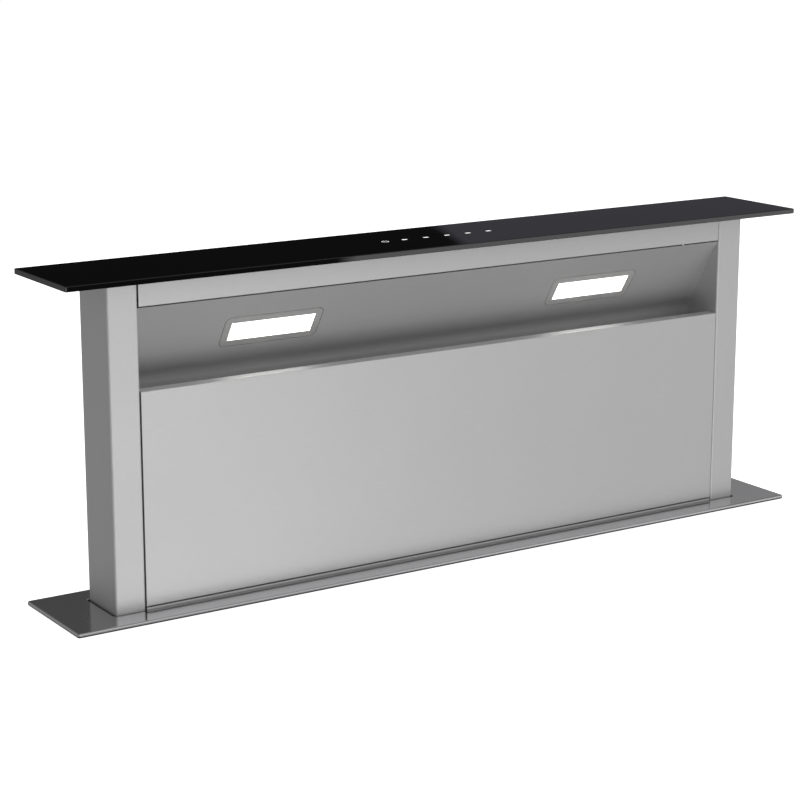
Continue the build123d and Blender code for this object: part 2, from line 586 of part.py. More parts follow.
FLAP_RADIUS = SPIGOT_BORE - 1.2
FLAP_THICKNESS = 1.0
KNUCKLE_RADIUS = 3.5
KNUCKLE_HEIGHT = 14.0
KNUCKLE_REACH = 2.5
FLAP_X = (PIN_X - KNUCKLE_RADIUS - 0.1 - FLAP_THICKNESS, PIN_X - KNUCKLE_RADIUS - 0.1)
FLAP_EDGE = 0.5
for side, label, knuckle_levels in ((-1, "flap_front", (18.0, -38.0)), (1, "flap_rear", (38.0, -18.0))):
    with BuildPart() as flap:
        rod((FLAP_X[0], FAN_Y, SPIGOT_Z), "X", FLAP_RADIUS, FLAP_THICKNESS)
        block(
            FLAP_X, sorted((FAN_Y + side * FLAP_EDGE, FAN_Y - side * 100)), (SPIGOT_Z - 90, SPIGOT_Z + 90),
            mode=Mode.SUBTRACT,
        )
        for level in knuckle_levels:
            knuckle_z = SPIGOT_Z + level - KNUCKLE_HEIGHT / 2
            knuckle_foot = (PIN_X, FAN_Y, knuckle_z)
            rod(knuckle_foot, "Z", KNUCKLE_RADIUS, KNUCKLE_HEIGHT)
            block(
                (FLAP_X[0], PIN_X - KNUCKLE_REACH),
                sorted((FAN_Y + side * FLAP_EDGE, FAN_Y + side * KNUCKLE_REACH)),
                (knuckle_z, knuckle_z + KNUCKLE_HEIGHT),
            )
            rod(knuckle_foot, "Z", PIN_RADIUS + RUNNING_CLEARANCE, KNUCKLE_HEIGHT, mode=Mode.SUBTRACT)
    finish(flap, label)

# ---- Electronics box -----------------------------------------------------------------------------
CONTROL_BACK = -HOUSING_Y
CONTROL_FRONT = CONTROL_BACK - CONTROL_DEPTH
COVER_THICKNESS = 2.5
GLAND_RADIUS = 8.0
GLAND_Y = CONTROL_BACK - CONTROL_DEPTH / 2
BOARD_GAP = 6.0
BOARD_THICKNESS = 1.6
with BuildPart() as control_box:
    block(CONTROL_X, (CONTROL_FRONT, CONTROL_BACK), CONTROL_Z)
    fillet(control_box.edges().filter_by(Axis.Y), 6)
    block(
        (CONTROL_X[0] + CONTROL_WALL, CONTROL_X[1] - CONTROL_WALL),
        (CONTROL_FRONT, CONTROL_BACK - CONTROL_WALL),
        (CONTROL_Z[0] + CONTROL_WALL, CONTROL_Z[1] - CONTROL_WALL),
        mode=Mode.SUBTRACT,
    )
    for x in (CONTROL_X[0] + 20, CONTROL_X[1] - 20):
        for z in (CONTROL_Z[0] + 25, CONTROL_Z[1] - 20):
            rod((x, CONTROL_BACK - BOARD_GAP, z), "Y", 4, BOARD_GAP)
    rod((GLAND_X, GLAND_Y, CONTROL_Z[0]), "Z", GLAND_RADIUS, CONTROL_WALL, mode=Mode.SUBTRACT)
finish(control_box, "control_box")

with BuildPart() as control_cover:
    block(CONTROL_X, (CONTROL_FRONT - COVER_THICKNESS, CONTROL_FRONT), CONTROL_Z)
    fillet(control_cover.edges().filter_by(Axis.Y), 6)
    fillet(control_cover.faces().sort_by(Axis.Y)[0].edges(), 1)
finish(control_cover, "control_cover")

BOARD_Y = (CONTROL_BACK - BOARD_GAP - BOARD_THICKNESS, CONTROL_BACK - BOARD_GAP)
TRANSFORMER = (-385.0, -180.0, 40.0, 34.0, 24.0)
RELAYS = ((-330.0, -175.0, 20.0, 16.0, 16.0), (-300.0, -175.0, 20.0, 16.0, 16.0))
MAINS_FILTER = (-265.0, -180.0, 26.0, 30.0, 20.0)
PROCESSOR = (-350.0, -240.0, 30.0, 30.0, 4.0)
TERMINALS = (-290.0, -290.0, 60.0, 14.0, 12.0)
CAPACITOR_X = (-390.0, -375.0, -360.0)
CAPACITOR_Z = -290.0
CAPACITOR_SIZE = (5.0, 18.0)
with BuildPart() as control_board:
    block((CONTROL_X[0] + 10, CONTROL_X[1] - 10), BOARD_Y, (CONTROL_Z[0] + 15, CONTROL_Z[1] - 10))
    for x, z, width, height, tall in (TRANSFORMER, *RELAYS, MAINS_FILTER, PROCESSOR, TERMINALS):
        part_x = (x - width / 2, x + width / 2)
        part_z = (z - height / 2, z + height / 2)
        block(part_x, (BOARD_Y[0] - tall, BOARD_Y[0]), part_z)
    for x in CAPACITOR_X:
        rod((x, BOARD_Y[0] - CAPACITOR_SIZE[1], CAPACITOR_Z), "Y", *CAPACITOR_SIZE)
finish(control_board, "control_board")

GLAND_FLANGE = 4.0
GLAND_INSIDE = 10.0
GLAND_NUT = 14.0
GLAND_NUT_RADIUS = 12.0
GLAND_TAPER = 8.0
with BuildPart() as cable_gland:
    rod((GLAND_X, GLAND_Y, CONTROL_Z[0] - GLAND_FLANGE), "Z", GLAND_NUT_RADIUS, GLAND_FLANGE)
    rod((GLAND_X, GLAND_Y, CONTROL_Z[0]), "Z", GLAND_RADIUS, GLAND_INSIDE)
    with BuildSketch(Plane.XY.offset(CONTROL_Z[0] - GLAND_FLANGE)):
        with Locations((GLAND_X, GLAND_Y)):
            RegularPolygon(GLAND_NUT_RADIUS - 1, 6)
    extrude(amount=-GLAND_NUT, taper=GLAND_TAPER)
    gland_foot = CONTROL_Z[0] - GLAND_FLANGE - GLAND_NUT
    gland_length = GLAND_NUT + GLAND_FLANGE + GLAND_INSIDE
    rod((GLAND_X, GLAND_Y, gland_foot), "Z", GLAND_BORE, gland_length, mode=Mode.SUBTRACT)
finish(cable_gland, "cable_gland")

# ---- Tower: columns and panels -------------------------------------------------------------------
STUD_Y = -20.0
STUD_LEVELS = (40.0, 200.0)
STUD_RADIUS = 3.0
STUD_REACH = 7.0
BUSH_RADIUS = 8.0
for side, label in ((-1, "left_column"), (1, "right_column")):
    with BuildPart() as column:
        block(sorted((side * COLUMN_INSIDE, side * TOWER_X)), (-TOWER_Y, TOWER_Y), (TOWER_BOTTOM, TOWER_TOP))
        outer_edges = column.edges().filter_by(Axis.Z)
        fillet(outer_edges, COLUMN_EDGE)
        block(
            sorted((side * (COLUMN_INSIDE + SHEET), side * (TOWER_X - SHEET))),
            (SHEET - TOWER_Y, TOWER_Y - SHEET),
            (TOWER_BOTTOM, TOWER_TOP),
            mode=Mode.SUBTRACT,
        )
        shaft_hole = (side * TOWER_X - COLUMN_WIDTH, SHAFT_Y, SHAFT_Z)
        rod(shaft_hole, "X", BUSH_RADIUS, 2 * COLUMN_WIDTH, mode=Mode.SUBTRACT)
    finish(column, label)

with BuildPart() as header_rail:
    header_x = (SEAM - COLUMN_INSIDE, COLUMN_INSIDE - SEAM)
    block(header_x, (-TOWER_Y, SHEET - TOWER_Y), (HEADER_BOTTOM, TOWER_TOP))
    block(header_x, (-TOWER_Y, 10 - TOWER_Y), (HEADER_BOTTOM, HEADER_BOTTOM + SHEET))
    fillet(front_edges(header_rail)[0], BEND)
finish(header_rail, "header_rail")

lamp_planes = [
    Plane(
        origin=(side * LAMP_SPACING / 2, LAMP_MIDDLE[0], LAMP_MIDDLE[1]),
        x_dir=(1, 0, 0),
        z_dir=(0, -cos(SLOPE), -sin(SLOPE)),
    )
    for side in (-1, 1)
]

LAMP_CUTOUT = (BEZEL_SIZE[0] + 2 * BEZEL_GAP, BEZEL_SIZE[1] + 2 * BEZEL_GAP)
with BuildPart() as light_panel:
    with BuildSketch(Plane.YZ.offset(-COLUMN_INSIDE)):
        with BuildLine():
            back_y = CREASE_Y + SHEET
            top_z = HEADER_BOTTOM - SEAM
            top_front = SEAM * tan(SLOPE) - TOWER_Y
            top_back = top_front + SHEET / cos(SLOPE)
            crease_back = top_z - (back_y - top_back) / tan(SLOPE)
            Polyline(
                (top_front, top_z),
                (CREASE_Y, CREASE_Z),
                (CREASE_Y, REAR_WALL_BOTTOM),
                (TOWER_Y - SHEET, REAR_WALL_BOTTOM),
                (TOWER_Y - SHEET, REAR_WALL_BOTTOM + SHEET),
                (back_y, REAR_WALL_BOTTOM + SHEET),
                (back_y, crease_back),
                (top_back, top_z),
                close=True,
            )
        make_face()
    extrude(amount=2 * COLUMN_INSIDE)
    for crease_y, crease_z, radius in (
        (CREASE_Y, CREASE_Z, CREASE_RADIUS),
        (back_y, crease_back, CREASE_RADIUS + SHEET),
    ):
        crease_middle = (0, crease_y, crease_z)
        crease = light_panel.edges().filter_by(Axis.X).sort_by_distance(crease_middle)[0]
        fillet(crease, radius)
    with BuildSketch(*lamp_planes):
        RectangleRounded(*LAMP_CUTOUT, BEZEL_CORNER + BEZEL_GAP)
    extrude(amount=-2 * SHEET, mode=Mode.SUBTRACT)
finish(light_panel, "light_panel")

PANEL_X = (SEAM - COLUMN_INSIDE, COLUMN_INSIDE - SEAM)
with BuildPart() as lower_front_panel:
    block(PANEL_X, (-TOWER_Y, SHEET - TOWER_Y), (TOWER_BOTTOM, RAIL_TOP))
    block(PANEL_X, (-TOWER_Y, 8 - TOWER_Y), (RAIL_TOP - SHEET, RAIL_TOP))
    fillet(front_edges(lower_front_panel)[-1], BEND)
finish(lower_front_panel, "lower_front_panel")

with BuildPart() as back_panel:
    block(PANEL_X, (TOWER_Y - SHEET, TOWER_Y), (TOWER_BOTTOM, TOWER_TOP))
finish(back_panel, "back_panel")

# ---- Tower: removable front panel, hung on studs -------------------------------------------------
UNHOOK = 15.0
SLOT_HALF = STUD_RADIUS + 0.4
RETURN_DEPTH = 16.2
with BuildPart() as front_panel:
    block(PANEL_X, (-TOWER_Y, SHEET - TOWER_Y), (PANEL_BOTTOM, PANEL_TOP))
    block(PANEL_X, (-TOWER_Y, PANEL_LIP - TOWER_Y), (PANEL_TOP - SHEET, PANEL_TOP))
    block(PANEL_X, (-TOWER_Y, 10 - TOWER_Y), (PANEL_BOTTOM, PANEL_BOTTOM + SHEET))
    fillet(front_edges(front_panel), BEND)
    for side in (-1, 1):
        return_x = sorted((side * PANEL_X[1], side * (PANEL_X[1] - SHEET)))
        block(return_x, (-TOWER_Y, RETURN_DEPTH - TOWER_Y), (PANEL_BOTTOM, PANEL_TOP - 3))
        for level in STUD_LEVELS:
            block(
                return_x,
                (STUD_Y - SLOT_HALF, STUD_Y + SLOT_HALF),
                (level - UNHOOK - SLOT_HALF, level + STUD_RADIUS + 0.1),
                mode=Mode.SUBTRACT,
            )
            block(
                return_x,
                (STUD_Y, RETURN_DEPTH - TOWER_Y),
                (level - UNHOOK - SLOT_HALF, level - UNHOOK + SLOT_HALF),
                mode=Mode.SUBTRACT,
            )
finish(front_panel, "front_panel")

with BuildPart() as hanger_studs:
    for stud_x in (-COLUMN_INSIDE, COLUMN_INSIDE - STUD_REACH):
        for level in STUD_LEVELS:
            rod((stud_x, STUD_Y, level), "X", STUD_RADIUS, STUD_REACH)
finish(hanger_studs, "hanger_studs")

# ---- Tower: glass top with its controls ----------------------------------------------------------
CARRIER_WINDOW = (176.0, 32.0)
CARRIER_THICKNESS = 1.5
with BuildPart() as top_carrier:
    block(PANEL_X, (SHEET - TOWER_Y, TOWER_Y - SHEET), (TOWER_TOP - CARRIER_THICKNESS, TOWER_TOP))
    with BuildSketch(Plane.XY.offset(TOWER_TOP)):
        Rectangle(*CARRIER_WINDOW)
    extrude(amount=-CARRIER_THICKNESS, mode=Mode.SUBTRACT)
finish(top_carrier, "top_carrier")

ADHESIVE_INSET = 4.0
with BuildPart() as glass_adhesive:
    with BuildSketch(Plane.XY.offset(TOWER_TOP)):
        Rectangle(TOWER_WIDTH - 2 * ADHESIVE_INSET, TOWER_DEPTH - 2 * ADHESIVE_INSET)
        Rectangle(*CARRIER_WINDOW, mode=Mode.SUBTRACT)
    extrude(amount=ADHESIVE)
finish(glass_adhesive, "glass_adhesive")

PLUG_SOCKET = ((-60.0, -40.0), (-8.0, 8.0), 4.0)
TOUCH_CHIP = ((10.0, 22.0), (-6.0, 6.0), 2.0)
with BuildPart() as touch_board:
    board_x, board_y, board_z = TOUCH_BOARD_SIZE
    board_foot = GLASS_UNDERSIDE - board_z
    block((-board_x / 2, board_x / 2), (-board_y / 2, board_y / 2), (board_foot, GLASS_UNDERSIDE))
    for part_x, part_y, tall in (PLUG_SOCKET, TOUCH_CHIP):
        block(part_x, part_y, (board_foot - tall, board_foot))
finish(touch_board, "touch_board")

with BuildPart() as glass_top:
    with BuildSketch(Plane.XY.offset(GLASS_UNDERSIDE)):
        RectangleRounded(GLASS_LENGTH, GLASS_DEPTH, GLASS_CORNER)
    extrude(amount=GLASS_THICKNESS)
    fillet(glass_top.faces().sort_by(Axis.Z)[-1].edges(), GLASS_EDGE)
    chamfer(glass_top.faces().sort_by(Axis.Z)[0].edges(), GLASS_ARRIS)
finish(glass_top, "glass_top")

# ---- Tower: lamps --------------------------------------------------------------------------------
BEZEL_THICKNESS = 1.5
TRAY_FLOOR = 1.0
LAMP_TRAY = (104.0, 31.0)
with BuildPart() as lamp_bezels:
    with BuildSketch(*lamp_planes):
        RectangleRounded(*BEZEL_SIZE, BEZEL_CORNER)
        Rectangle(*DIFFUSER_SIZE, mode=Mode.SUBTRACT)
    extrude(amount=-BEZEL_THICKNESS)
    with BuildSketch(*[plane.offset(-BEZEL_THICKNESS) for plane in lamp_planes]):
        Rectangle(*LAMP_TRAY)
        Rectangle(*DIFFUSER_SIZE, mode=Mode.SUBTRACT)
    extrude(amount=BEZEL_THICKNESS - LAMP_DEPTH)
    with BuildSketch(*[plane.offset(-LAMP_DEPTH) for plane in lamp_planes]):
        Rectangle(*LAMP_TRAY)
    extrude(amount=-TRAY_FLOOR)
finish(lamp_bezels, "lamp_bezels")

DIFFUSER_RECESS = 0.2
DIFFUSER_THICKNESS = 3.0
with BuildPart() as lamp_diffusers:
    with BuildSketch(*[plane.offset(-DIFFUSER_RECESS) for plane in lamp_planes]):
        Rectangle(*DIFFUSER_SIZE)
    extrude(amount=-DIFFUSER_THICKNESS)
finish(lamp_diffusers, "lamp_diffusers")

LAMP_BOARD = 1.6
DIODE_GRID = (15.0, 10.0, 6, 2)
DIODE_SIZE = (3.5, 0.8)
with BuildPart() as lamp_boards:
    with BuildSketch(*[plane.offset(-LAMP_DEPTH) for plane in lamp_planes]):
        Rectangle(DIFFUSER_SIZE[0] - 2, DIFFUSER_SIZE[1] - 2)
    extrude(amount=LAMP_BOARD)
    with BuildSketch(*[plane.offset(-LAMP_DEPTH + LAMP_BOARD) for plane in lamp_planes]):
        with GridLocations(*DIODE_GRID):
            Rectangle(DIODE_SIZE[0], DIODE_SIZE[0])
    extrude(amount=DIODE_SIZE[1])
finish(lamp_boards, "lamp_boards")

# ---- Tower: grease filters -----------------------------------------------------------------------
FILTER_TILT = 14.0
FILTER_SIZE = (352.0, 153.0)
FILTER_THICKNESS = 8.0
FILTER_BORDER = 11.0
MESH_THICKNESS = 5.0
FILTER_MIDDLE = (-3.0, 131.0)
filter_planes = [
    Plane(
        origin=(side * (FILTER_SIZE[0] / 2 + 2), FILTER_MIDDLE[0], FILTER_MIDDLE[1]),
        x_dir=(1, 0, 0),
        z_dir=(0, -cos(radians(FILTER_TILT)), sin(radians(FILTER_TILT))),
    )
    for side in (-1, 1)
]
mesh_size = (FILTER_SIZE[0] - 2 * FILTER_BORDER, FILTER_SIZE[1] - 2 * FILTER_BORDER)
with BuildPart() as filter_frames:
    with BuildSketch(*[plane.offset(-FILTER_THICKNESS / 2) for plane in filter_planes]):
        RectangleRounded(*FILTER_SIZE, 4)
        Rectangle(*mesh_size, mode=Mode.SUBTRACT)
    extrude(amount=FILTER_THICKNESS)
finish(filter_frames, "filter_frames")

with BuildPart() as filter_meshes:
    with BuildSketch(*[plane.offset(-MESH_THICKNESS / 2) for plane in filter_planes]):
        Rectangle(*mesh_size)
    extrude(amount=MESH_THICKNESS)
finish(filter_meshes, "filter_meshes")

LEDGE_Z = FILTER_MIDDLE[1] - FILTER_SIZE[1] / 2 * cos(radians(FILTER_TILT)) - 1.1
LEDGE_X = COLUMN_INSIDE - 4
LEDGE_Y = (-28.0, -12.0)
LEDGE_SKIRT = 14.0
LEDGE_LIP = 8.0
with BuildPart() as filter_ledge:
    block((-LEDGE_X, LEDGE_X), LEDGE_Y, (LEDGE_Z - SHEET, LEDGE_Z))
    block((-LEDGE_X, LEDGE_X), (LEDGE_Y[0], LEDGE_Y[0] + SHEET), (LEDGE_Z - LEDGE_SKIRT, LEDGE_Z))
    lip_y = (LEDGE_Y[1] - SHEET, LEDGE_Y[1])
    block((-COLUMN_INSIDE, COLUMN_INSIDE), lip_y, (LEDGE_Z - SHEET, LEDGE_Z + LEDGE_LIP))
finish(filter_ledge, "filter_ledge")

# ---- Tower: base frame with the lift drive -------------------------------------------------------
BASE_THICKNESS = 2.0
BASE_Y = (SHEET - TOWER_Y, TOWER_Y - SHEET)
BASE_Z = (TOWER_BOTTOM, TOWER_BOTTOM + BASE_THICKNESS)
BASE_MARGIN = 6.0
BASE_WINDOWS = ((-280.0, -215.0), (10.0, 180.0), (195.0, 350.0))
with BuildPart() as base_frame:
    block((-COLUMN_INSIDE, COLUMN_INSIDE), BASE_Y, BASE_Z)
    for window in BASE_WINDOWS:
        block(window, (BASE_Y[0] + BASE_MARGIN, BASE_Y[1] - BASE_MARGIN), BASE_Z, mode=Mode.SUBTRACT)
    for side in (-1, 1):
        block(
            sorted((side * COLUMN_INSIDE, side * (COLUMN_INSIDE - BASE_THICKNESS))),
            BASE_Y,
            (TOWER_BOTTOM, SHAFT_Z + 16),
        )
        rod((side * COLUMN_INSIDE - 5, SHAFT_Y, SHAFT_Z), "X", BUSH_RADIUS, 10, mode=Mode.SUBTRACT)
finish(base_frame, "base_frame")

with BuildPart() as guide_shoes:
    for levels in SHOE_LEVELS:
        block(SHOE_X, SHOE_Y, levels)
    fillet(guide_shoes.edges().filter_by(Axis.X), 1.5)
    mirror(about=Plane.YZ)
finish(guide_shoes, "guide_shoes")

BUSH_FLANGE_RADIUS = 9.5
with BuildPart() as shaft_bushes:
    rod((TOWER_X - SHEET, SHAFT_Y, SHAFT_Z), "X", BUSH_RADIUS, 6)
    rod((TOWER_X - SHEET - 3, SHAFT_Y, SHAFT_Z), "X", BUSH_FLANGE_RADIUS, 3)
    rod((TOWER_X - 10, SHAFT_Y, SHAFT_Z), "X", SHAFT_RADIUS + RUNNING_CLEARANCE, 30, mode=Mode.SUBTRACT)
    mirror(about=Plane.YZ)
finish(shaft_bushes, "shaft_bushes")

GEARBOX_X = (-120.0, -90.0)
GEARBOX_Z = (TOWER_BOTTOM + BASE_THICKNESS, SHAFT_Z + 17)
MOTOR_CAN_RADIUS = 15.0
MOTOR_CAN_LENGTH = 72.0
MOTOR_SHAFT_RADIUS = 2.5
GEARBOX_SEAT = 12.0
with BuildPart() as lift_motor:
    block(GEARBOX_X, (MOTOR_Y - 17, MOTOR_Y + 14.5), GEARBOX_Z)
    rod((GEARBOX_X[0] - MOTOR_CAN_LENGTH, MOTOR_Y, SHAFT_Z), "X", MOTOR_CAN_RADIUS, MOTOR_CAN_LENGTH)
    shaft_seat = (GEARBOX_X[1] - GEARBOX_SEAT, MOTOR_Y, SHAFT_Z)
    rod(shaft_seat, "X", MOTOR_SHAFT_RADIUS + RUNNING_CLEARANCE, GEARBOX_SEAT, mode=Mode.SUBTRACT)
finish(lift_motor, "lift_motor")


def gear_outline(module, teeth, addendum, phase):
    """Return the corners of an involute gear; phase is the angle of one tooth's middle, in radians."""
    pitch_radius = module * teeth / 2
    base_radius = pitch_radius * cos(PRESSURE_ANGLE)
    root_radius = pitch_radius - 1.25 * module
    tip_radius = pitch_radius + addendum
    half_at_pitch = (pi * module / 2 - BACKLASH) / 2 / pitch_radius
    flank_steps = 5
    flank_step = (tip_radius - base_radius) / flank_steps
    flank = [base_radius + step * flank_step for step in range(flank_steps + 1)]

    def half_angle(radius):
        roll = acos(min(1.0, base_radius / radius))
        return half_at_pitch + tan(PRESSURE_ANGLE) - PRESSURE_ANGLE - (tan(roll) - roll)

    profile = [(root_radius, -half_angle(base_radius))] + [(radius, -half_angle(radius)) for radius in flank]
    profile += [(radius, -angle) for radius, angle in reversed(profile)]
    corners = []
    for tooth in range(teeth):
        middle = phase + 2 * pi * tooth / teeth
        for radius, angle in profile:
            corners.append((radius * cos(middle + angle), radius * sin(middle + angle)))
    return corners


SHAFT_END = RACK_X[1] + 2.0
with BuildPart() as cross_shaft:
    rod((-SHAFT_END, SHAFT_Y, SHAFT_Z), "X", SHAFT_RADIUS, 2 * SHAFT_END)
finish(cross_shaft, "cross_shaft")

with BuildSketch() as rack_pinion_outline:
    with BuildLine():
        Polyline(*gear_outline(RACK_MODULE, PINION_TEETH, RACK_MODULE, 0), close=True)
    make_face()

with BuildPart() as rack_pinions:
    with BuildSketch(Plane.YZ.offset(RACK_X[0])):
        with Locations((SHAFT_Y, SHAFT_Z)):
            add(rack_pinion_outline.sketch_local)
            Circle(SHAFT_RADIUS, mode=Mode.SUBTRACT)
    extrude(amount=RACK_X[1] - RACK_X[0])
    mirror(about=Plane.YZ)
finish(rack_pinions, "rack_pinions")

GEAR_X = (-84.0, -76.0)
GEAR_BOSS = (9.0, 6.0)
with BuildSketch() as drive_gear_outline:
    with BuildLine():
        Polyline(*gear_outline(GEAR_MODULE, DRIVE_TEETH, DRIVE_ADDENDUM, 0), close=True)
    make_face()

with BuildPart() as drive_gear:
    with BuildSketch(Plane.YZ.offset(GEAR_X[0])):
        with Locations((SHAFT_Y, SHAFT_Z)):
            add(drive_gear_outline.sketch_local)
    extrude(amount=GEAR_X[1] - GEAR_X[0])
    rod((GEAR_X[1], SHAFT_Y, SHAFT_Z), "X", *GEAR_BOSS)
    gear_length = GEAR_X[1] - GEAR_X[0] + GEAR_BOSS[1]
    rod((GEAR_X[0], SHAFT_Y, SHAFT_Z), "X", SHAFT_RADIUS, gear_length, mode=Mode.SUBTRACT)
finish(drive_gear, "drive_gear")

with BuildSketch() as motor_pinion_outline:
    with BuildLine():
        Polyline(*gear_outline(GEAR_MODULE, MOTOR_TEETH, GEAR_MODULE, pi / MOTOR_TEETH), close=True)
    make_face()

PINION_X = (GEAR_X[0] - 1, GEAR_X[1] + 1)
PINION_SHAFT_START = GEARBOX_X[1] - GEARBOX_SEAT + 1
with BuildPart() as motor_pinion:
    with BuildSketch(Plane.YZ.offset(PINION_X[0])):
        with Locations((MOTOR_Y, SHAFT_Z)):
            add(motor_pinion_outline.sketch_local)
    extrude(amount=PINION_X[1] - PINION_X[0])
    pinion_shaft = (PINION_SHAFT_START, MOTOR_Y, SHAFT_Z)
    rod(pinion_shaft, "X", MOTOR_SHAFT_RADIUS, PINION_X[1] - PINION_SHAFT_START)
finish(motor_pinion, "motor_pinion")
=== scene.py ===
# %% [markdown]
# # A downdraft vent, dressed for a photograph
# The vent is a flat steel tower that rises out of a kitchen worktop and draws steam down behind the hob. Its pieces
# were drawn as solids first, at their real size, and every one of them is loaded here as the fixed frame. Blender's
# work is the finish of each surface, the pieces that are too fine for the solids, the light and the camera.

# %% Load the solids as the frame
import math

import bpy
from mathutils import Euler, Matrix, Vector


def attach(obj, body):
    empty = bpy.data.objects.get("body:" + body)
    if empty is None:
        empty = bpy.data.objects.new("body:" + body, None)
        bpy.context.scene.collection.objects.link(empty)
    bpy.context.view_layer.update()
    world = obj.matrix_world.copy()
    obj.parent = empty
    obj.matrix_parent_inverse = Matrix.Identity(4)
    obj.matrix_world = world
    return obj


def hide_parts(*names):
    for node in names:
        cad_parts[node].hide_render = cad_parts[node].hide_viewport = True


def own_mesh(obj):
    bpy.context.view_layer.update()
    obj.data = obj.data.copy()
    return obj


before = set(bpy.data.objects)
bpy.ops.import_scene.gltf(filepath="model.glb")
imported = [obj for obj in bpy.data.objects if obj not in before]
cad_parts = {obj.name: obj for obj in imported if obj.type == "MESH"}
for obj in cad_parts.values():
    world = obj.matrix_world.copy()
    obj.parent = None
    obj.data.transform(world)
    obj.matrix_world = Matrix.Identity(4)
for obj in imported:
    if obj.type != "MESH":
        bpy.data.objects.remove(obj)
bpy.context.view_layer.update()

# %% [markdown]
# ## Three helpers
# Blender counts in metres and radians, and this object was drawn in millimetres and degrees, so two numbers turn one
# into the other. Colours are written as the hex values that a picture editor shows, and one function turns them into
# the linear values that the renderer needs. The second function adds a node and links it in one line, which keeps
# each material readable. The third gives a finish to solids by name.

# %% Millimetres, colours, nodes and solids
MM = 0.001
DEGREE = math.radians(1)


def linear(hex_colour):
    """Turn an sRGB colour such as "#c8c9ca" into Blender's linear red, green, blue and alpha."""
    channels = [int(hex_colour[place:place + 2], 16) / 255 for place in (1, 3, 5)]
    return [c / 12.92 if c < 0.04045 else ((c + 0.055) / 1.055) ** 2.4 for c in channels] + [1.0]


def add_node(tree, kind, inputs=None, **settings):
    """Add one node: settings are its own options, inputs are values or links by socket name or number."""
    node = tree.nodes.new(kind)
    for name, value in settings.items():
        setattr(node, name, value)
    for key, value in (inputs or {}).items():
        if isinstance(value, bpy.types.NodeSocket):
            tree.links.new(value, node.inputs[key])
        else:
            node.inputs[key].default_value = value
    return node


def dress(material, *names):
    """Give the solids of these names one material."""
    for name in names:
        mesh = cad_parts[name].data
        mesh.materials.clear()
        mesh.materials.append(material)


print("a mid grey of #808080 is", round(linear("#808080")[0], 3), "in linear light")

# %% [markdown]
# ## The camera first
# The straight edges of the photograph were used to solve where its camera stood: left of the tower, a little above
# it, looking down by 13.4 degrees. A long lens keeps the edges nearly parallel, as they are in the photograph.

# %% Camera at the photograph's angle
CAMERA_PLACE = Vector((-1.2805, -1.9082, 0.7124))
CAMERA_DOWN = 13.387
CAMERA_TURN = 32.922
CAMERA_LENS = 99.61

camera_data = bpy.data.cameras.new("camera")
camera_data.lens = CAMERA_LENS
camera_data.sensor_width = 36.0
camera = bpy.data.objects.new("camera", camera_data)
camera.location = CAMERA_PLACE
camera.rotation_euler = Euler(((90 - CAMERA_DOWN) * DEGREE, 0, -CAMERA_TURN * DEGREE))
bpy.context.scene.collection.objects.link(camera)
bpy.context.scene.camera = camera
print("the camera stands", round(CAMERA_PLACE.length, 2), "m from the middle of the worktop cut-out")

# %% [markdown]
# ## Brushed stainless steel
# The tower is folded from stainless sheet whose surface was ground with a belt. The belt leaves scratches that are
# a centimetre or two long and far thinner than a hair. They do two things to the eye: the sheet gets faint lines in
# the belt's direction, and reflections smear across the lines. A noise texture that is stretched along the grain
# gives the lines. The real ones are too fine for the picture, so they are drawn about half a millimetre wide. The
# smear comes from the shader's anisotropy, which needs a tangent that points across the grain.

# %% Sheet with a ground surface
GRAIN_LENGTH = 14 * MM
GRAIN_WIDTH = 0.5 * MM
GRAIN_DEPTH = 0.005 * MM
GRAIN_STRENGTH = 0.25
CLOUD_SIZE = 90 * MM
CLOUD_SHARE = 0.25
STEEL_TONES = (0.35, 0.9)
STEEL_ROUGHNESS_SWING = 0.02


def ground_steel(name, light, dark, roughness, smear, grain_axis):
    """Make stainless steel with a grain along X or Z; smear is how far reflections stretch across the grain."""
    material = bpy.data.materials.new(name)
    material.use_nodes = True
    tree = material.node_tree
    shader = tree.nodes["Principled BSDF"]
    shader.inputs["Metallic"].default_value = 1.0
    shader.inputs["Anisotropic"].default_value = smear
    stretch = [1 / GRAIN_WIDTH] * 3
    stretch["XYZ".index(grain_axis)] = 1 / GRAIN_LENGTH
    place = add_node(tree, "ShaderNodeTexCoord").outputs["Object"]
    along = add_node(tree, "ShaderNodeMapping", {"Vector": place, "Scale": stretch}).outputs[0]
    lines = add_node(tree, "ShaderNodeTexNoise", {"Vector": along, "Scale": 1.0, "Detail": 3.0}).outputs[0]
    clouds = add_node(tree, "ShaderNodeTexNoise", {"Vector": place, "Scale": 1 / CLOUD_SIZE}).outputs[0]
    both = add_node(
        tree, "ShaderNodeMath", {0: clouds, 1: CLOUD_SHARE, 2: lines}, operation="MULTIPLY_ADD"
    ).outputs[0]
    tone = add_node(tree, "ShaderNodeMapRange", {0: both, 1: STEEL_TONES[0], 2: STEEL_TONES[1]}).outputs[0]
    colour = add_node(tree, "ShaderNodeMix", {0: tone, 6: linear(dark), 7: linear(light)}, data_type="RGBA")
    rough = add_node(
        tree, "ShaderNodeMapRange",
        {0: tone, 3: roughness + STEEL_ROUGHNESS_SWING, 4: roughness - STEEL_ROUGHNESS_SWING},
    )
    bump = add_node(tree, "ShaderNodeBump", {"Height": lines, "Strength": GRAIN_STRENGTH, "Distance": GRAIN_DEPTH})
    across = add_node(tree, "ShaderNodeCombineXYZ", {axis: float("XYZ"[axis] != grain_axis) for axis in range(3)})
    tree.links.new(colour.outputs[2], shader.inputs["Base Color"])
    tree.links.new(rough.outputs[0], shader.inputs["Roughness"])
    tree.links.new(bump.outputs[0], shader.inputs["Normal"])
    tree.links.new(across.outputs[0], shader.inputs["Tangent"])
    return material


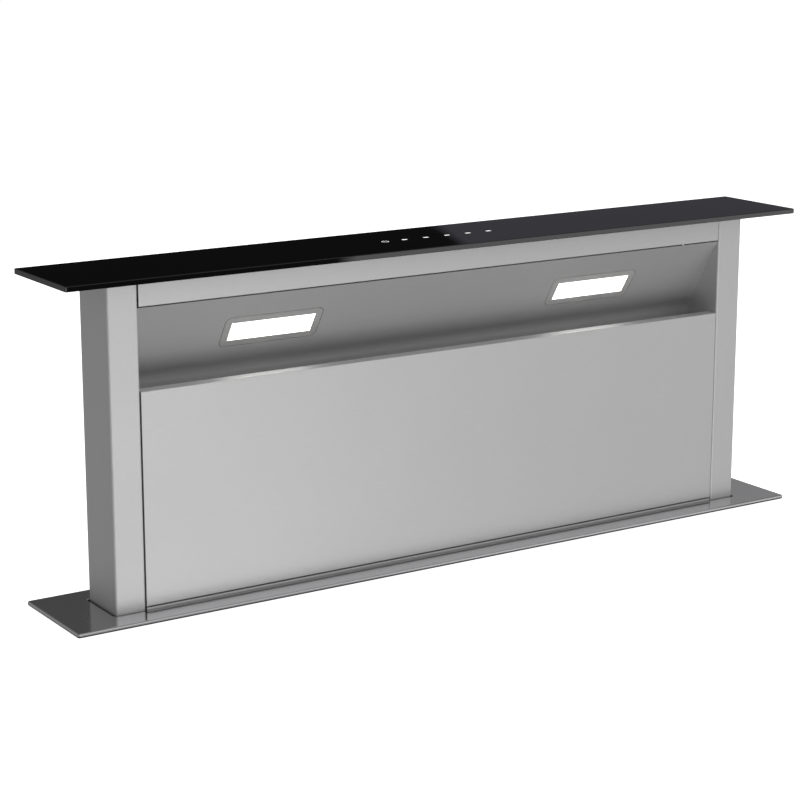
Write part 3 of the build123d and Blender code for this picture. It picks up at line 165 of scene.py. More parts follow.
# %% [markdown]
# Four finishes come from that function. The wide sheets are ground along their length and the columns upwards. The
# panel with the lamps lies in a recess and was left matt. The flange was polished further, so it mirrors the
# tower's foot.

# %% Steel for the sheets, the columns, the recess and the flange
sheet_along = ground_steel("satin_ground_stainless_steel", "#dadada", "#d6d6d6", 0.56, 0.3, "X")
sheet_up = ground_steel("satin_ground_stainless_steel_upright", "#d6d6d6", "#d2d2d2", 0.56, 0.1, "Z")
recess_steel = ground_steel("matt_ground_stainless_steel", "#d7d7d7", "#d3d3d3", 0.66, 0.2, "X")
flange_steel = ground_steel("bright_ground_stainless_steel", "#dedee0", "#d9d9db", 0.15, 0.6, "X")
dress(sheet_along, "header_rail", "lower_front_panel", "front_panel", "back_panel")
dress(recess_steel, "light_panel")
dress(sheet_up, "left_column", "right_column")
dress(flange_steel, "worktop_flange")
print([steel.name for steel in (sheet_along, sheet_up, recess_steel, flange_steel)])

# %% [markdown]
# The flange is folded down along its edge. The lower half of that rim is always in the narrow dark line where it
# meets the worktop. The white floor of this scene throws no shade there, so the steel is darkened by height instead.

# %% A dark line at the foot of the rim
RIM_DARK = 2.4 * MM
RIM_BRIGHT = 4.4 * MM
RIM_SHADE = 0.12
tree = flange_steel.node_tree
shader = tree.nodes["Principled BSDF"]
steel_colour = shader.inputs["Base Color"].links[0].from_socket
place = add_node(tree, "ShaderNodeTexCoord").outputs["Object"]
above = add_node(tree, "ShaderNodeSeparateXYZ", {0: place}).outputs[2]
shade = add_node(tree, "ShaderNodeMapRange", {0: above, 1: RIM_DARK, 2: RIM_BRIGHT, 3: RIM_SHADE, 4: 1.0}).outputs[0]
darkened = add_node(
    tree, "ShaderNodeMix", {0: 1.0, 6: steel_colour, 7: shade}, data_type="RGBA", blend_type="MULTIPLY"
).outputs[2]
tree.links.new(darkened, shader.inputs["Base Color"])
print("the rim darkens below", RIM_BRIGHT / MM, "mm")

# %% [markdown]
# ## Black glass
# The top is toughened glass with a black ceramic print fired on its underside. To the eye that is a nearly black
# body under one sharp reflection, so the shader gets a very dark colour, the index of refraction of glass and almost
# no roughness. A faint smudge pattern in the roughness stands for the film that cleaning leaves.

# %% Printed glass for the top
SMUDGE = 45 * MM
SMUDGE_TONES = (0.35, 0.75)
FILM_ROUGHNESS = (0.01, 0.03)
glass = bpy.data.materials.new("toughened_glass_with_black_ceramic_print")
glass.use_nodes = True
tree = glass.node_tree
shader = tree.nodes["Principled BSDF"]
shader.inputs["IOR"].default_value = 1.52
place = add_node(tree, "ShaderNodeTexCoord").outputs["Object"]
smudge = add_node(tree, "ShaderNodeTexNoise", {"Vector": place, "Scale": 1 / SMUDGE, "Detail": 4.0}).outputs[0]
film = add_node(
    tree, "ShaderNodeMapRange",
    {0: smudge, 1: SMUDGE_TONES[0], 2: SMUDGE_TONES[1], 3: FILM_ROUGHNESS[0], 4: FILM_ROUGHNESS[1]},
).outputs[0]
depth = add_node(tree, "ShaderNodeMix", {0: smudge, 6: linear("#040405"), 7: linear("#070708")}, data_type="RGBA")
tree.links.new(film, shader.inputs["Roughness"])
tree.links.new(depth.outputs[2], shader.inputs["Base Color"])
dress(glass, "glass_top")
print(glass.name, "with smudges", round(SMUDGE / MM), "mm wide")

# %% [markdown]
# ## Finishes with a fine grain
# Rubber, moulded plastic, enamel, zinc plate and acetal look different, but they are built the same way: a colour
# that wanders a little, a roughness that wanders with it, and a grain that is a fraction of a millimetre high. One
# function makes them all. Each call below gives it the light and the dark colour, the roughness, the size and the
# depth of the grain, and the index of refraction, all typical of the real material.

# %% One function for fine-grained finishes
WANDER = 40
WANDER_TONES = (0.12, 0.42)
ROUGHNESS_SWING = 0.06


def grained(name, light, dark, roughness, grain, depth, metallic=0.0, ior=1.5):
    """Make a finish whose grain has a size and a depth in millimetres; its colour wanders over WANDER grains."""
    material = bpy.data.materials.new(name)
    material.use_nodes = True
    tree = material.node_tree
    shader = tree.nodes["Principled BSDF"]
    shader.inputs["Metallic"].default_value = metallic
    if not metallic:
        shader.inputs["IOR"].default_value = ior
    place = add_node(tree, "ShaderNodeTexCoord").outputs["Object"]
    fine = add_node(tree, "ShaderNodeTexNoise", {"Vector": place, "Scale": 1 / (grain * MM), "Detail": 3.0}).outputs[0]
    wide = add_node(tree, "ShaderNodeTexNoise", {"Vector": place, "Scale": 1 / (WANDER * grain * MM)}).outputs[0]
    tone = add_node(tree, "ShaderNodeMath", {0: fine, 1: wide}, operation="MULTIPLY").outputs[0]
    tone = add_node(tree, "ShaderNodeMapRange", {0: tone, 1: WANDER_TONES[0], 2: WANDER_TONES[1]}).outputs[0]
    colour = add_node(tree, "ShaderNodeMix", {0: tone, 6: linear(dark), 7: linear(light)}, data_type="RGBA")
    rough = add_node(
        tree, "ShaderNodeMapRange", {0: tone, 3: roughness + ROUGHNESS_SWING, 4: roughness - ROUGHNESS_SWING}
    )
    bump = add_node(tree, "ShaderNodeBump", {"Height": fine, "Strength": 0.5, "Distance": depth * MM})
    tree.links.new(colour.outputs[2], shader.inputs["Base Color"])
    tree.links.new(rough.outputs[0], shader.inputs["Roughness"])
    tree.links.new(bump.outputs[0], shader.inputs["Normal"])
    return material


# %% [markdown]
# Pieces that seal or soften a stop are rubber, and pieces that slide or mesh are acetal, which needs no grease. Boxes
# and small fittings are moulded, and the motors are enamelled. Each finish is dressed on its solids at once.

# %% Rubber, plastics and enamel
rubber = grained("moulded_epdm_rubber", "#1b1b1c", "#101011", 0.72, 0.8, 0.06, ior=1.52)
dress(rubber, "flange_gasket", "wiper_seal", "travel_buffers", "glass_adhesive")
acetal = grained("machined_white_acetal", "#eeede8", "#e2e1da", 0.38, 0.6, 0.02, ior=1.48)
dress(acetal, "lift_racks", "glide_pads", "guide_shoes", "rack_pinions", "drive_gear")
black_moulding = grained("moulded_black_polyamide", "#202123", "#161719", 0.48, 0.5, 0.04, ior=1.53)
dress(black_moulding, "limit_sensors", "outlet_collar", "cable_gland", "shaft_bushes", "flap_front", "flap_rear")
grey_moulding = grained("moulded_grey_abs", "#a9abac", "#9c9ea0", 0.5, 0.7, 0.04, ior=1.54)
dress(grey_moulding, "control_box", "control_cover")
cable_sheath = grained("grey_pvc_cable_sheath", "#8d8f91", "#7f8183", 0.42, 0.5, 0.03, ior=1.53)
dress(cable_sheath, "flex_cable")
motor_enamel = grained("black_stoving_enamel", "#232426", "#18191b", 0.3, 1.5, 0.03, ior=1.5)
dress(motor_enamel, "fan_motor", "lift_motor")
print([finish.name for finish in (rubber, acetal, black_moulding, grey_moulding, cable_sheath, motor_enamel)])

# %% [markdown]
# Bought metal pieces are zinc plated against rust. The filter's frame and the lamp's bezel are anodised aluminium.
# The bezel stands out almost white in the photograph, so its colour is lighter than that of bare aluminium.

# %% Zinc plate and aluminium
zinc_plate = grained("bright_zinc_plate", "#d3d6da", "#b9bdc2", 0.28, 1.2, 0.01, metallic=1.0)
dress(zinc_plate, "housing_screws", "clamp_screws", "flap_pin", "hanger_studs")
dress(zinc_plate, "cross_shaft", "motor_pinion", "fan_shaft")
frame_aluminium = grained("anodised_aluminium_extrusion", "#d9dadb", "#cccdcf", 0.34, 0.6, 0.01, metallic=1.0)
dress(frame_aluminium, "filter_frames")
mesh_aluminium = grained("expanded_aluminium_mesh", "#cfd1d3", "#b4b7ba", 0.4, 0.8, 0.02, metallic=1.0)
dress(mesh_aluminium, "filter_meshes")
bezel_aluminium = grained("satin_pearl_anodised_aluminium", "#f8f7f6", "#f2f1f0", 0.62, 0.5, 0.005, metallic=1.0)
dress(bezel_aluminium, "lamp_bezels")
print([finish.name for finish in (zinc_plate, frame_aluminium, mesh_aluminium, bezel_aluminium)])

# %% [markdown]
# ## Galvanised sheet
# Everything inside is galvanised steel. When the zinc freezes it forms flat crystals some millimetres wide, and each
# one catches the light differently. A Voronoi texture has exactly that layout: its cells are the crystals, and the
# random colour of a cell sets how bright and how rough that crystal is.

# %% Zinc crystals on the inner sheet
SPANGLE = 9 * MM
SPANGLE_ROUGHNESS = (0.36, 0.52)
galvanised = bpy.data.materials.new("hot_dip_galvanised_sheet")
galvanised.use_nodes = True
tree = galvanised.node_tree
shader = tree.nodes["Principled BSDF"]
shader.inputs["Metallic"].default_value = 1.0
place = add_node(tree, "ShaderNodeTexCoord").outputs["Object"]
crystals = add_node(tree, "ShaderNodeTexVoronoi", {"Vector": place, "Scale": 1 / SPANGLE}).outputs["Color"]
crystal = add_node(tree, "ShaderNodeSeparateXYZ", {0: crystals}).outputs
colour = add_node(
    tree, "ShaderNodeMix", {0: crystal[0], 6: linear("#a9adb0"), 7: linear("#c3c7ca")}, data_type="RGBA"
)
rough = add_node(tree, "ShaderNodeMapRange", {0: crystal[1], 3: SPANGLE_ROUGHNESS[0], 4: SPANGLE_ROUGHNESS[1]})
tree.links.new(colour.outputs[2], shader.inputs["Base Color"])
tree.links.new(rough.outputs[0], shader.inputs["Roughness"])
dress(
    galvanised, "housing_front", "housing_rear", "housing_left", "housing_right", "housing_floor", "floor_feet",
    "worktop_clamps", "guide_rails", "blower_box", "blower_cover", "volute_shell", "volute_cover", "top_carrier",
    "filter_ledge", "base_frame", "impeller", "impeller_blades",
)
print("crystals", SPANGLE / MM, "mm wide")

# %% [markdown]
# ## Lamp diffusers
# Each lamp is a strip of opal acrylic with a row of diodes behind it. Opal acrylic spreads the light so well that the
# photograph shows an even white, so the surface itself glows. A slight unevenness stays where the diodes sit.

# %% Opal acrylic that glows
DIODE_PITCH = 15 * MM
SPOT_TONES = (0.3, 0.7)
GLOW = (2.6, 3.0)
opal = bpy.data.materials.new("opal_acrylic_lit_from_behind")
opal.use_nodes = True
tree = opal.node_tree
shader = tree.nodes["Principled BSDF"]
shader.inputs["Base Color"].default_value = linear("#f4f4f0")
shader.inputs["Roughness"].default_value = 0.3
shader.inputs["IOR"].default_value = 1.49
place = add_node(tree, "ShaderNodeTexCoord").outputs["Object"]
spots = add_node(tree, "ShaderNodeTexNoise", {"Vector": place, "Scale": 1 / DIODE_PITCH}).outputs[0]
glow = add_node(
    tree, "ShaderNodeMapRange", {0: spots, 1: SPOT_TONES[0], 2: SPOT_TONES[1], 3: GLOW[0], 4: GLOW[1]}
).outputs[0]
white = add_node(tree, "ShaderNodeMix", {0: spots, 6: linear("#fffdf8"), 7: linear("#ffffff")}, data_type="RGBA")
tree.links.new(glow, shader.inputs["Emission Strength"])
tree.links.new(white.outputs[2], shader.inputs["Emission Color"])
dress(opal, "lamp_diffusers")
print(opal.name, "glows at", GLOW)

# %% [markdown]
# ## Circuit boards
# A board is glass fibre under green solder resist, with copper tracks that show through as lighter lines. Square
# Voronoi cells joined edge to edge make a fair stand-in for the tracks.

# %% Green solder resist
TRACK_PITCH = 5 * MM
TRACK_EDGE = (0.55, 0.6)
solder_resist = bpy.data.materials.new("fibreglass_with_green_solder_resist")
solder_resist.use_nodes = True
tree = solder_resist.node_tree
shader = tree.nodes["Principled BSDF"]
shader.inputs["Roughness"].default_value = 0.3
shader.inputs["IOR"].default_value = 1.55
place = add_node(tree, "ShaderNodeTexCoord").outputs["Object"]
tracks = add_node(
    tree, "ShaderNodeTexVoronoi", {"Vector": place, "Scale": 1 / TRACK_PITCH}, feature="F2", distance="CHEBYCHEV"
)
edge = add_node(
    tree, "ShaderNodeMapRange", {0: tracks.outputs["Distance"], 1: TRACK_EDGE[0], 2: TRACK_EDGE[1]}
).outputs[0]
green = add_node(tree, "ShaderNodeMix", {0: edge, 6: linear("#0e4a28"), 7: linear("#2a7a45")}, data_type="RGBA")
tree.links.new(green.outputs[2], shader.inputs["Base Color"])
dress(solder_resist, "control_board", "touch_board", "lamp_boards")
print("tracks", TRACK_PITCH / MM, "mm apart")

# %% [markdown]
# ## Pieces that repeat
# Some pieces are too many to draw one by one. A geometry node tree makes them from a few named numbers. It runs once
# on an empty object, and what comes out is kept as a plain mesh, so the piece stays the same wherever it is used.
# One function starts such a tree, and a second one ends it, runs it and keeps the mesh.

# %% Start a tree with named numbers
def new_tree(name, numbers):
    """Start a geometry tree with one named input for each number."""
    tree = bpy.data.node_groups.new(name, "GeometryNodeTree")
    tree.interface.new_socket("Geometry", in_out="OUTPUT", socket_type="NodeSocketGeometry")
    for label, value in numbers.items():
        kind = "NodeSocketInt" if isinstance(value, int) else "NodeSocketFloat"
        tree.interface.new_socket(label, in_out="INPUT", socket_type=kind)
    return tree, add_node(tree, "NodeGroupInput").outputs


# %% Run a tree and keep its mesh
def grow(tree, copies, numbers, material):
    """Make the copies real, give them their material, run the tree and keep the mesh."""
    solid = add_node(tree, "GeometryNodeRealizeInstances", {0: copies}).outputs[0]
    painted = add_node(tree, "GeometryNodeSetMaterial", {"Geometry": solid, "Material": material}).outputs[0]
    add_node(tree, "NodeGroupOutput", {0: painted})
    piece = bpy.data.objects.new(tree.name, bpy.data.meshes.new(tree.name))
    bpy.context.scene.collection.objects.link(piece)
    modifier = piece.modifiers.new("grow", "NODES")
    modifier.node_group = tree
    for item in tree.interface.items_tree:
        if item.in_out == "INPUT":
            modifier[item.identifier] = numbers[item.name]
    evaluated = piece.evaluated_get(bpy.context.evaluated_depsgraph_get())
    piece.data = bpy.data.meshes.new_from_object(evaluated)
    piece.modifiers.clear()
    print(piece.name, len(piece.data.polygons), "faces")
    return piece


# %% [markdown]
# The glass carries marks over its touch fields. They are a fired ceramic print, about 0.05 mm thick, and a diode
# behind each one makes it glow, so their finish gets a white emission.

# %% White print that glows
PRINT_GLOW = 0.9
print_white = grained("fired_white_ceramic_print", "#f2f2f0", "#e6e6e3", 0.35, 0.4, 0.004, ior=1.52)
shader = print_white.node_tree.nodes["Principled BSDF"]
shader.inputs["Emission Color"].default_value = linear("#ffffff")
shader.inputs["Emission Strength"].default_value = PRINT_GLOW
print(print_white.name, "glows at", PRINT_GLOW)

# %% [markdown]
# Five of the marks are short rounded bars in a row. A line of points places them, so their number and pitch can be
# changed in one line.

# %% Touch marks on the glass
GLASS_TOP = 342.4 * MM
PRINT_LIFT = 0.05 * MM
MARK_START = Vector((-40.7 * MM, -2.0 * MM, GLASS_TOP + PRINT_LIFT))
MARK_CORNER = 0.5 * MM
mark_numbers = {"Count": 5, "Pitch": 26.6 * MM, "Mark length": 6.0 * MM, "Mark width": 3.2 * MM}
tree, number = new_tree("touch_marks", mark_numbers)
step = add_node(tree, "ShaderNodeCombineXYZ", {0: number["Pitch"]}).outputs[0]
fields = add_node(
    tree, "GeometryNodeMeshLine",
    {"Count": number["Count"], "Start Location": MARK_START, "Offset": step},
).outputs[0]
outline = add_node(
    tree, "GeometryNodeCurvePrimitiveQuadrilateral", {"Width": number["Mark length"], "Height": number["Mark width"]}
).outputs[0]
outline = add_node(
    tree, "GeometryNodeFilletCurve", {0: outline, "Count": 4, "Radius": MARK_CORNER}, mode="POLY"
).outputs[0]
bar = add_node(tree, "GeometryNodeFillCurve", {0: outline}).outputs[0]
marks = add_node(tree, "GeometryNodeInstanceOnPoints", {"Points": fields, "Instance": bar}).outputs[0]
touch_marks = grow(tree, marks, mark_numbers, print_white)
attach(touch_marks, "tower")

# %% [markdown]
# The mark at the left end switches the vent on and off. Its sign is the usual one, a ring that is open at the top
# with a bar in the gap. It is made only once, so its corners are simply worked out and joined to faces: pairs of
# points inside and outside the ring's line, one pair for every few degrees.

# %% The on and off symbol
ICON_PLACE = Vector((-64.5 * MM, -2.0 * MM, GLASS_TOP + PRINT_LIFT))
ICON_RADIUS = 3.6 * MM
ICON_LINE = 0.35 * MM
BAR_FOOT = 0.8 * MM
BAR_HEAD = 5.2 * MM
GAP = 60
TURN_STEP = 15
corners = []
for turn in range(90 + GAP // 2, 450 - GAP // 2 + 1, TURN_STEP):
    ray = Vector((math.cos(turn * DEGREE), math.sin(turn * DEGREE), 0))
    corners += [ICON_PLACE + ray * (ICON_RADIUS - ICON_LINE), ICON_PLACE + ray * (ICON_RADIUS + ICON_LINE)]
faces = [(i, i + 1, i + 3, i + 2) for i in range(0, len(corners) - 2, 2)]
ring_end = len(corners)
corners += [ICON_PLACE + Vector((x, y, 0)) for y in (BAR_FOOT, BAR_HEAD) for x in (-ICON_LINE, ICON_LINE)]
faces.append((ring_end, ring_end + 1, ring_end + 3, ring_end + 2))
icon_mesh = bpy.data.meshes.new("power_symbol")
icon_mesh.from_pydata(corners, [], faces)
icon_mesh.materials.append(print_white)
power_symbol = bpy.data.objects.new("power_symbol", icon_mesh)
bpy.context.scene.collection.objects.link(power_symbol)
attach(power_symbol, "tower")
print(power_symbol.name, len(faces), "faces, all facing up:", all(face.normal.z > 0.99 for face in icon_mesh.polygons))

# %% [markdown]
# The grease filters hold expanded aluminium: sheet that was slit and pulled open into diamonds. All diamonds are the
# same, so one is enough to start with. It is a closed wire: a circle with only four corners is stretched to the
# diamond's size, and a thin square is swept along it.

# %% One diamond of the filter mesh
mesh_numbers = {
    "Diamond length": 12 * MM, "Diamond height": 6 * MM, "Columns": 27, "Rows": 21, "Strand": 0.7 * MM,
    "Layer gap": 3 * MM, "Filter spacing": 356 * MM,
}
tree, number = new_tree("expanded_mesh", mesh_numbers)
square = add_node(tree, "GeometryNodeCurvePrimitiveCircle", {"Resolution": 4, "Radius": 0.5}).outputs[0]
stretch = add_node(
    tree, "ShaderNodeCombineXYZ", {0: number["Diamond length"], 1: number["Diamond height"], 2: 1.0}
).outputs[0]
diamond = add_node(tree, "GeometryNodeTransform", {"Geometry": square, "Scale": stretch}).outputs[0]
strand = add_node(
    tree, "GeometryNodeCurvePrimitiveQuadrilateral", {"Width": number["Strand"], "Height": number["Strand"]}
).outputs[0]
cell = add_node(tree, "GeometryNodeCurveToMesh", {0: diamond, 1: strand}).outputs[0]
print(len(tree.nodes), "nodes make one diamond")

# %% [markdown]
# Diamonds fill a sheet only when every second row is moved by half a step. Two grids of points do that. The second
# one has a column and a row fewer, and as both are centred, its points fall in the middle between those of the first.

# %% A sheet of diamonds
cells = []
for fewer in (0, 1):
    counts, sizes = [], []
    for count, pitch in (("Columns", "Diamond length"), ("Rows", "Diamond height")):
        points = add_node(tree, "ShaderNodeMath", {0: number[count], 1: fewer}, operation="SUBTRACT").outputs[0]
        steps = add_node(tree, "ShaderNodeMath", {0: points, 1: 1}, operation="SUBTRACT").outputs[0]
        size = add_node(tree, "ShaderNodeMath", {0: steps, 1: number[pitch]}, operation="MULTIPLY").outputs[0]
        counts.append(points)
        sizes.append(size)
    grid = add_node(
        tree, "GeometryNodeMeshGrid",
        {"Size X": sizes[0], "Size Y": sizes[1], "Vertices X": counts[0], "Vertices Y": counts[1]},
    ).outputs[0]
    cells.append(add_node(tree, "GeometryNodeInstanceOnPoints", {"Points": grid, "Instance": cell}).outputs[0])
sheet = add_node(tree, "GeometryNodeJoinGeometry", {0: cells[0]})
tree.links.new(cells[1], sheet.inputs[0])
print(len(cells), "grids of diamonds in a sheet")

# %% [markdown]
# A filter holds two such sheets a few millimetres apart, and the tower holds two filters side by side. Both are the
# same step: two copies at a distance along an axis, so it becomes a function.

# %% Two copies side by side
def two_of(tree, piece, distance, axis):
    """Put two copies of a piece at a distance along an axis, with the origin in the middle."""
    half = add_node(tree, "ShaderNodeMath", {0: distance, 1: -0.5}, operation="MULTIPLY").outputs[0]
    first = add_node(tree, "ShaderNodeCombineXYZ", {axis: half}).outputs[0]
    step = add_node(tree, "ShaderNodeCombineXYZ", {axis: distance}).outputs[0]
    places = add_node(tree, "GeometryNodeMeshLine", {"Count": 2, "Start Location": first, "Offset": step}).outputs[0]
    return add_node(tree, "GeometryNodeInstanceOnPoints", {"Points": places, "Instance": piece}).outputs[0]


# %% Two sheets in each of two filters
FILTER_PLACE = Vector((0, -3 * MM, 131 * MM))
FILTER_TILT = 76 * DEGREE
filter_sheets = two_of(tree, sheet.outputs[0], number["Layer gap"], 2)
both_filters = two_of(tree, filter_sheets, number["Filter spacing"], 0)
tilted = add_node(
    tree, "GeometryNodeTransform",
    {"Geometry": both_filters, "Translation": FILTER_PLACE, "Rotation": (FILTER_TILT, 0, 0)},
).outputs[0]
expanded_mesh = grow(tree, tilted, mesh_numbers, mesh_aluminium)
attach(expanded_mesh, "tower")
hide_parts("filter_meshes")

# %% [markdown]
# The housing is held by twenty cross-recessed screws. Their heads are solids already, but the cross in each is not
# cut. Two thin dark bars make it as painted shade, a grid of points puts ten of them on a face, and the function from
# the filters makes the front and the rear face of it.

# %% Painted shade of the cross recesses in the housing screws
ARM_WIDTH = 0.9 * MM
ARM_DEPTH = 0.1 * MM
MIDDLE_HEIGHT = -300 * MM
screw_numbers = {"Across": 845.6 * MM, "Height": 520 * MM, "Face to face": 108.5 * MM, "Recess": 3.8 * MM}
# A dark zinc colour paints the shade inside each recess; the bars are flat and cut nothing.
painted_recess_shade = grained("zinc_with_painted_recess_shade", "#3a3b3c", "#2c2d2e", 0.5, 0.3, 0.01, metallic=1.0)
tree, number = new_tree("painted_screw_recess_shade", screw_numbers)
arms = []
for axis in (0, 2):
    size = {0: ARM_WIDTH, 1: ARM_DEPTH, 2: ARM_WIDTH} | {axis: number["Recess"]}
    arm_size = add_node(tree, "ShaderNodeCombineXYZ", size).outputs[0]
    arms.append(add_node(tree, "GeometryNodeMeshCube", {"Size": arm_size}).outputs[0])
cross = add_node(tree, "GeometryNodeJoinGeometry", {0: arms[0]})
tree.links.new(arms[1], cross.inputs[0])
heads = add_node(
    tree, "GeometryNodeMeshGrid",
    {"Size X": number["Across"], "Size Y": number["Height"], "Vertices X": 2, "Vertices Y": 5},
).outputs[0]
upright = add_node(
    tree, "GeometryNodeTransform",
    {"Geometry": heads, "Translation": (0, 0, MIDDLE_HEIGHT), "Rotation": (90 * DEGREE, 0, 0)},
).outputs[0]
one_face = add_node(tree, "GeometryNodeInstanceOnPoints", {"Points": upright, "Instance": cross.outputs[0]}).outputs[0]
both_faces = two_of(tree, one_face, number["Face to face"], 1)
painted_screw_recess_shade = grow(tree, both_faces, screw_numbers, painted_recess_shade)
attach(painted_screw_recess_shade, "chassis")

# %% [markdown]
# ## The flexible supply cable
# A flat cable hangs in folds between the housing floor and the tower, so that the tower can move and stay supplied.
# Its middle follows a wave: it swings to one side and back while it climbs. The swing fades in and out at the ends,
# where the cable is held.

# %% The way of the cable
CABLE_X = -325 * MM
CABLE_FOOT = -586.8 * MM
CABLE_HEAD = -75 * MM
CABLE_SWING = 21 * MM
CABLE_FOLDS = 14
FOLD_STEPS = 12
STEPS = CABLE_FOLDS * FOLD_STEPS


def cable_point(share):
    """Return the x and z of the cable's middle at a share of its height, from the foot up."""
    fold = share * CABLE_FOLDS
    swing = -CABLE_SWING * math.cos(math.pi * fold) * min(1, 2 * fold, 2 * (CABLE_FOLDS - fold))
    return Vector((CABLE_X + swing, CABLE_FOOT + share * (CABLE_HEAD - CABLE_FOOT)))


way = [cable_point(section / STEPS) for section in range(STEPS + 1)]
length = sum((end - start).length for start, end in zip(way, way[1:]))
print("the cable is", round(length / MM), "mm long")

# %% [markdown]
# Five cores lie side by side in the grey sheath and show as ribs on both faces. The outline of the section is
# therefore a row of five small arches, and the same row again on the other face.

# %% A section with five ribs
CABLE_HALF = Vector((0.8 * MM, 10 * MM))
CORES = 5
ARCH_POINTS = 20
GROOVE = 0.6
places = [i / ARCH_POINTS for i in range(ARCH_POINTS + 1)]
thickness = [CABLE_HALF.x * (GROOVE + (1 - GROOVE) * abs(math.sin(math.pi * CORES * place))) for place in places]
across = [CABLE_HALF.y * (2 * place - 1) for place in places]
front_face = list(zip(thickness, across))
outline = front_face + [(-deep, wide) for deep, wide in reversed(front_face)]
print(len(outline), "points go round the cable")

# %% [markdown]
# The section is set square to the wave at each step. Two points of the wave, just ahead and just behind, give its
# direction there. Neighbouring sections are joined by faces.

# %% The ribbed cable in folds
JUST_BESIDE = 0.001
corners = []
for section, middle in enumerate(way):
    share = section / STEPS
    ahead = cable_point(min(1, share + JUST_BESIDE)) - cable_point(max(0, share - JUST_BESIDE))
    side = Vector((ahead.y, -ahead.x)).normalized()
    corners += [(middle.x + side.x * deep, wide, middle.y + side.y * deep) for deep, wide in outline]
ring = len(outline)
faces = [
    (a * ring + b, a * ring + (b + 1) % ring, (a + 1) * ring + (b + 1) % ring, (a + 1) * ring + b)
    for a in range(STEPS) for b in range(ring)
]
faces += [tuple(reversed(range(ring))), tuple(range(STEPS * ring, (STEPS + 1) * ring))]
cable_mesh = bpy.data.meshes.new("supply_cable")
cable_mesh.from_pydata(corners, [], faces)
cable_mesh.materials.append(cable_sheath)
cable_mesh.polygons.foreach_set("use_smooth", [True] * len(faces))
supply_cable = bpy.data.objects.new("supply_cable", cable_mesh)
bpy.context.scene.collection.objects.link(supply_cable)
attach(supply_cable, "chassis")
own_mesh(supply_cable)
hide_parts("flex_cable")

# %% [markdown]
# ## Floor and light
# The photograph has no shadow at all on its white ground, as if the vent stood on a light table. The floor here is
# the worktop's surface, a plain white sheet with the cut-out of the real worktop in it, so the housing below it stays
# hidden as in a kitchen. It glows by itself, and only the camera sees it.

# %% White that glows for the ground
light_table = bpy.data.materials.new("white_light_table")
light_table.use_nodes = True
shader = light_table.node_tree.nodes["Principled BSDF"]
shader.inputs["Base Color"].default_value = linear("#f4f4f4")
shader.inputs["Roughness"].default_value = 0.9
shader.inputs["Emission Color"].default_value = linear("#ffffff")
shader.inputs["Emission Strength"].default_value = 1.0
print(light_table.name)

# %% The worktop as a white ground
GROUND_HALF = (8.0, 8.0)
CUT_OUT_HALF = (435 * MM, 54 * MM)
corners = [
    (x * half[0], y * half[1], 0)
    for half in (GROUND_HALF, CUT_OUT_HALF) for x, y in ((-1, -1), (1, -1), (1, 1), (-1, 1))
]
floor_mesh = bpy.data.meshes.new("floor")
floor_mesh.from_pydata(corners, [], [(i, (i + 1) % 4, 4 + (i + 1) % 4, 4 + i) for i in range(4)])
floor_mesh.materials.append(light_table)
floor = bpy.data.objects.new("floor", floor_mesh)
bpy.context.scene.collection.objects.link(floor)
floor.visible_glossy = False
floor.visible_diffuse = False
floor.visible_shadow = False
print("the cut-out is", [round(2 * half / MM) for half in CUT_OUT_HALF], "mm")

# %% [markdown]
# Steel and glass show what they mirror, so their light comes from the world. It is a studio that changes only with
# the direction: a bright table in front, a darker room at the back and a dim ceiling. Two angles tell a direction.
# The elevation is how far it points up. The azimuth turns from the back, by the right, round to the front.

# %% The directions of the studio
world = bpy.data.worlds.new("studio")
bpy.context.scene.world = world
world.use_nodes = True
tree = world.node_tree
tree.nodes.clear()
direction = add_node(tree, "ShaderNodeTexCoord").outputs["Generated"]
axes = add_node(tree, "ShaderNodeSeparateXYZ", {0: direction}).outputs
azimuth = add_node(tree, "ShaderNodeMath", {0: axes[0], 1: axes[1]}, operation="ARCTAN2").outputs[0]
elevation = add_node(tree, "ShaderNodeMath", {0: axes[2]}, operation="ARCSINE").outputs[0]
height = add_node(tree, "ShaderNodeMapRange", {0: elevation, 1: -90 * DEGREE, 2: 90 * DEGREE}).outputs[0]
sideways = add_node(tree, "ShaderNodeMapRange", {0: axes[0], 1: -1.0, 2: 1.0}).outputs[0]
print(len(tree.nodes), "nodes tell the direction")

# %% [markdown]
# The satin sheets blur what they mirror, so smooth runs of grey are enough for them. Each run is a colour ramp. Its
# stops are elevations in degrees, and for the change from left to right, the direction's x. The levels were found by
# rendering the sheets and comparing them with the photograph.

# %% Levels of the front and the back
STOPS = {
    "front": {-90: 0.09, -60: 0.13, -42: 0.25, -26: 0.59, -13: 0.76, -2: 0.80, 12: 0.76, 35: 0.55, 90: 0.12},
    "back": {-90: 0.30, -45: 0.34, -12: 0.34, -1: 0.30, 3: 0.26, 20: 0.26, 40: 0.14, 90: 0.2},
    "back_right": {-90: 0.30, -45: 0.34, -22: 0.20, -16: 0.04, 3: 0.03, 20: 0.12, 40: 0.10, 90: 0.2},
    "front_sideways": {-1.0: 0.40, -0.5: 0.60, -0.1: 1.15, 0.2: 1.15, 0.55: 0.82, 0.75: 0.81, 1.0: 0.55},
}
levels = {}
for part, stops in STOPS.items():
    place = sideways if part == "front_sideways" else height
    ramp = add_node(tree, "ShaderNodeValToRGB", {0: place}, name=part)
    while len(ramp.color_ramp.elements) < len(stops):
        ramp.color_ramp.elements.new(0.5)
    for element, (stop, level) in zip(ramp.color_ramp.elements, stops.items()):
        element.position = (stop - min(stops)) / (max(stops) - min(stops))
        element.color = (level, level, level, 1)
    levels[part] = ramp.outputs[0]
print({part: len(stops) for part, stops in STOPS.items()}, "stops")

# %% [markdown]
# Other parts of the studio have clear borders. Each border is a share that goes from 0 to 1 between two angles, and
# a share can then mix one part into another.

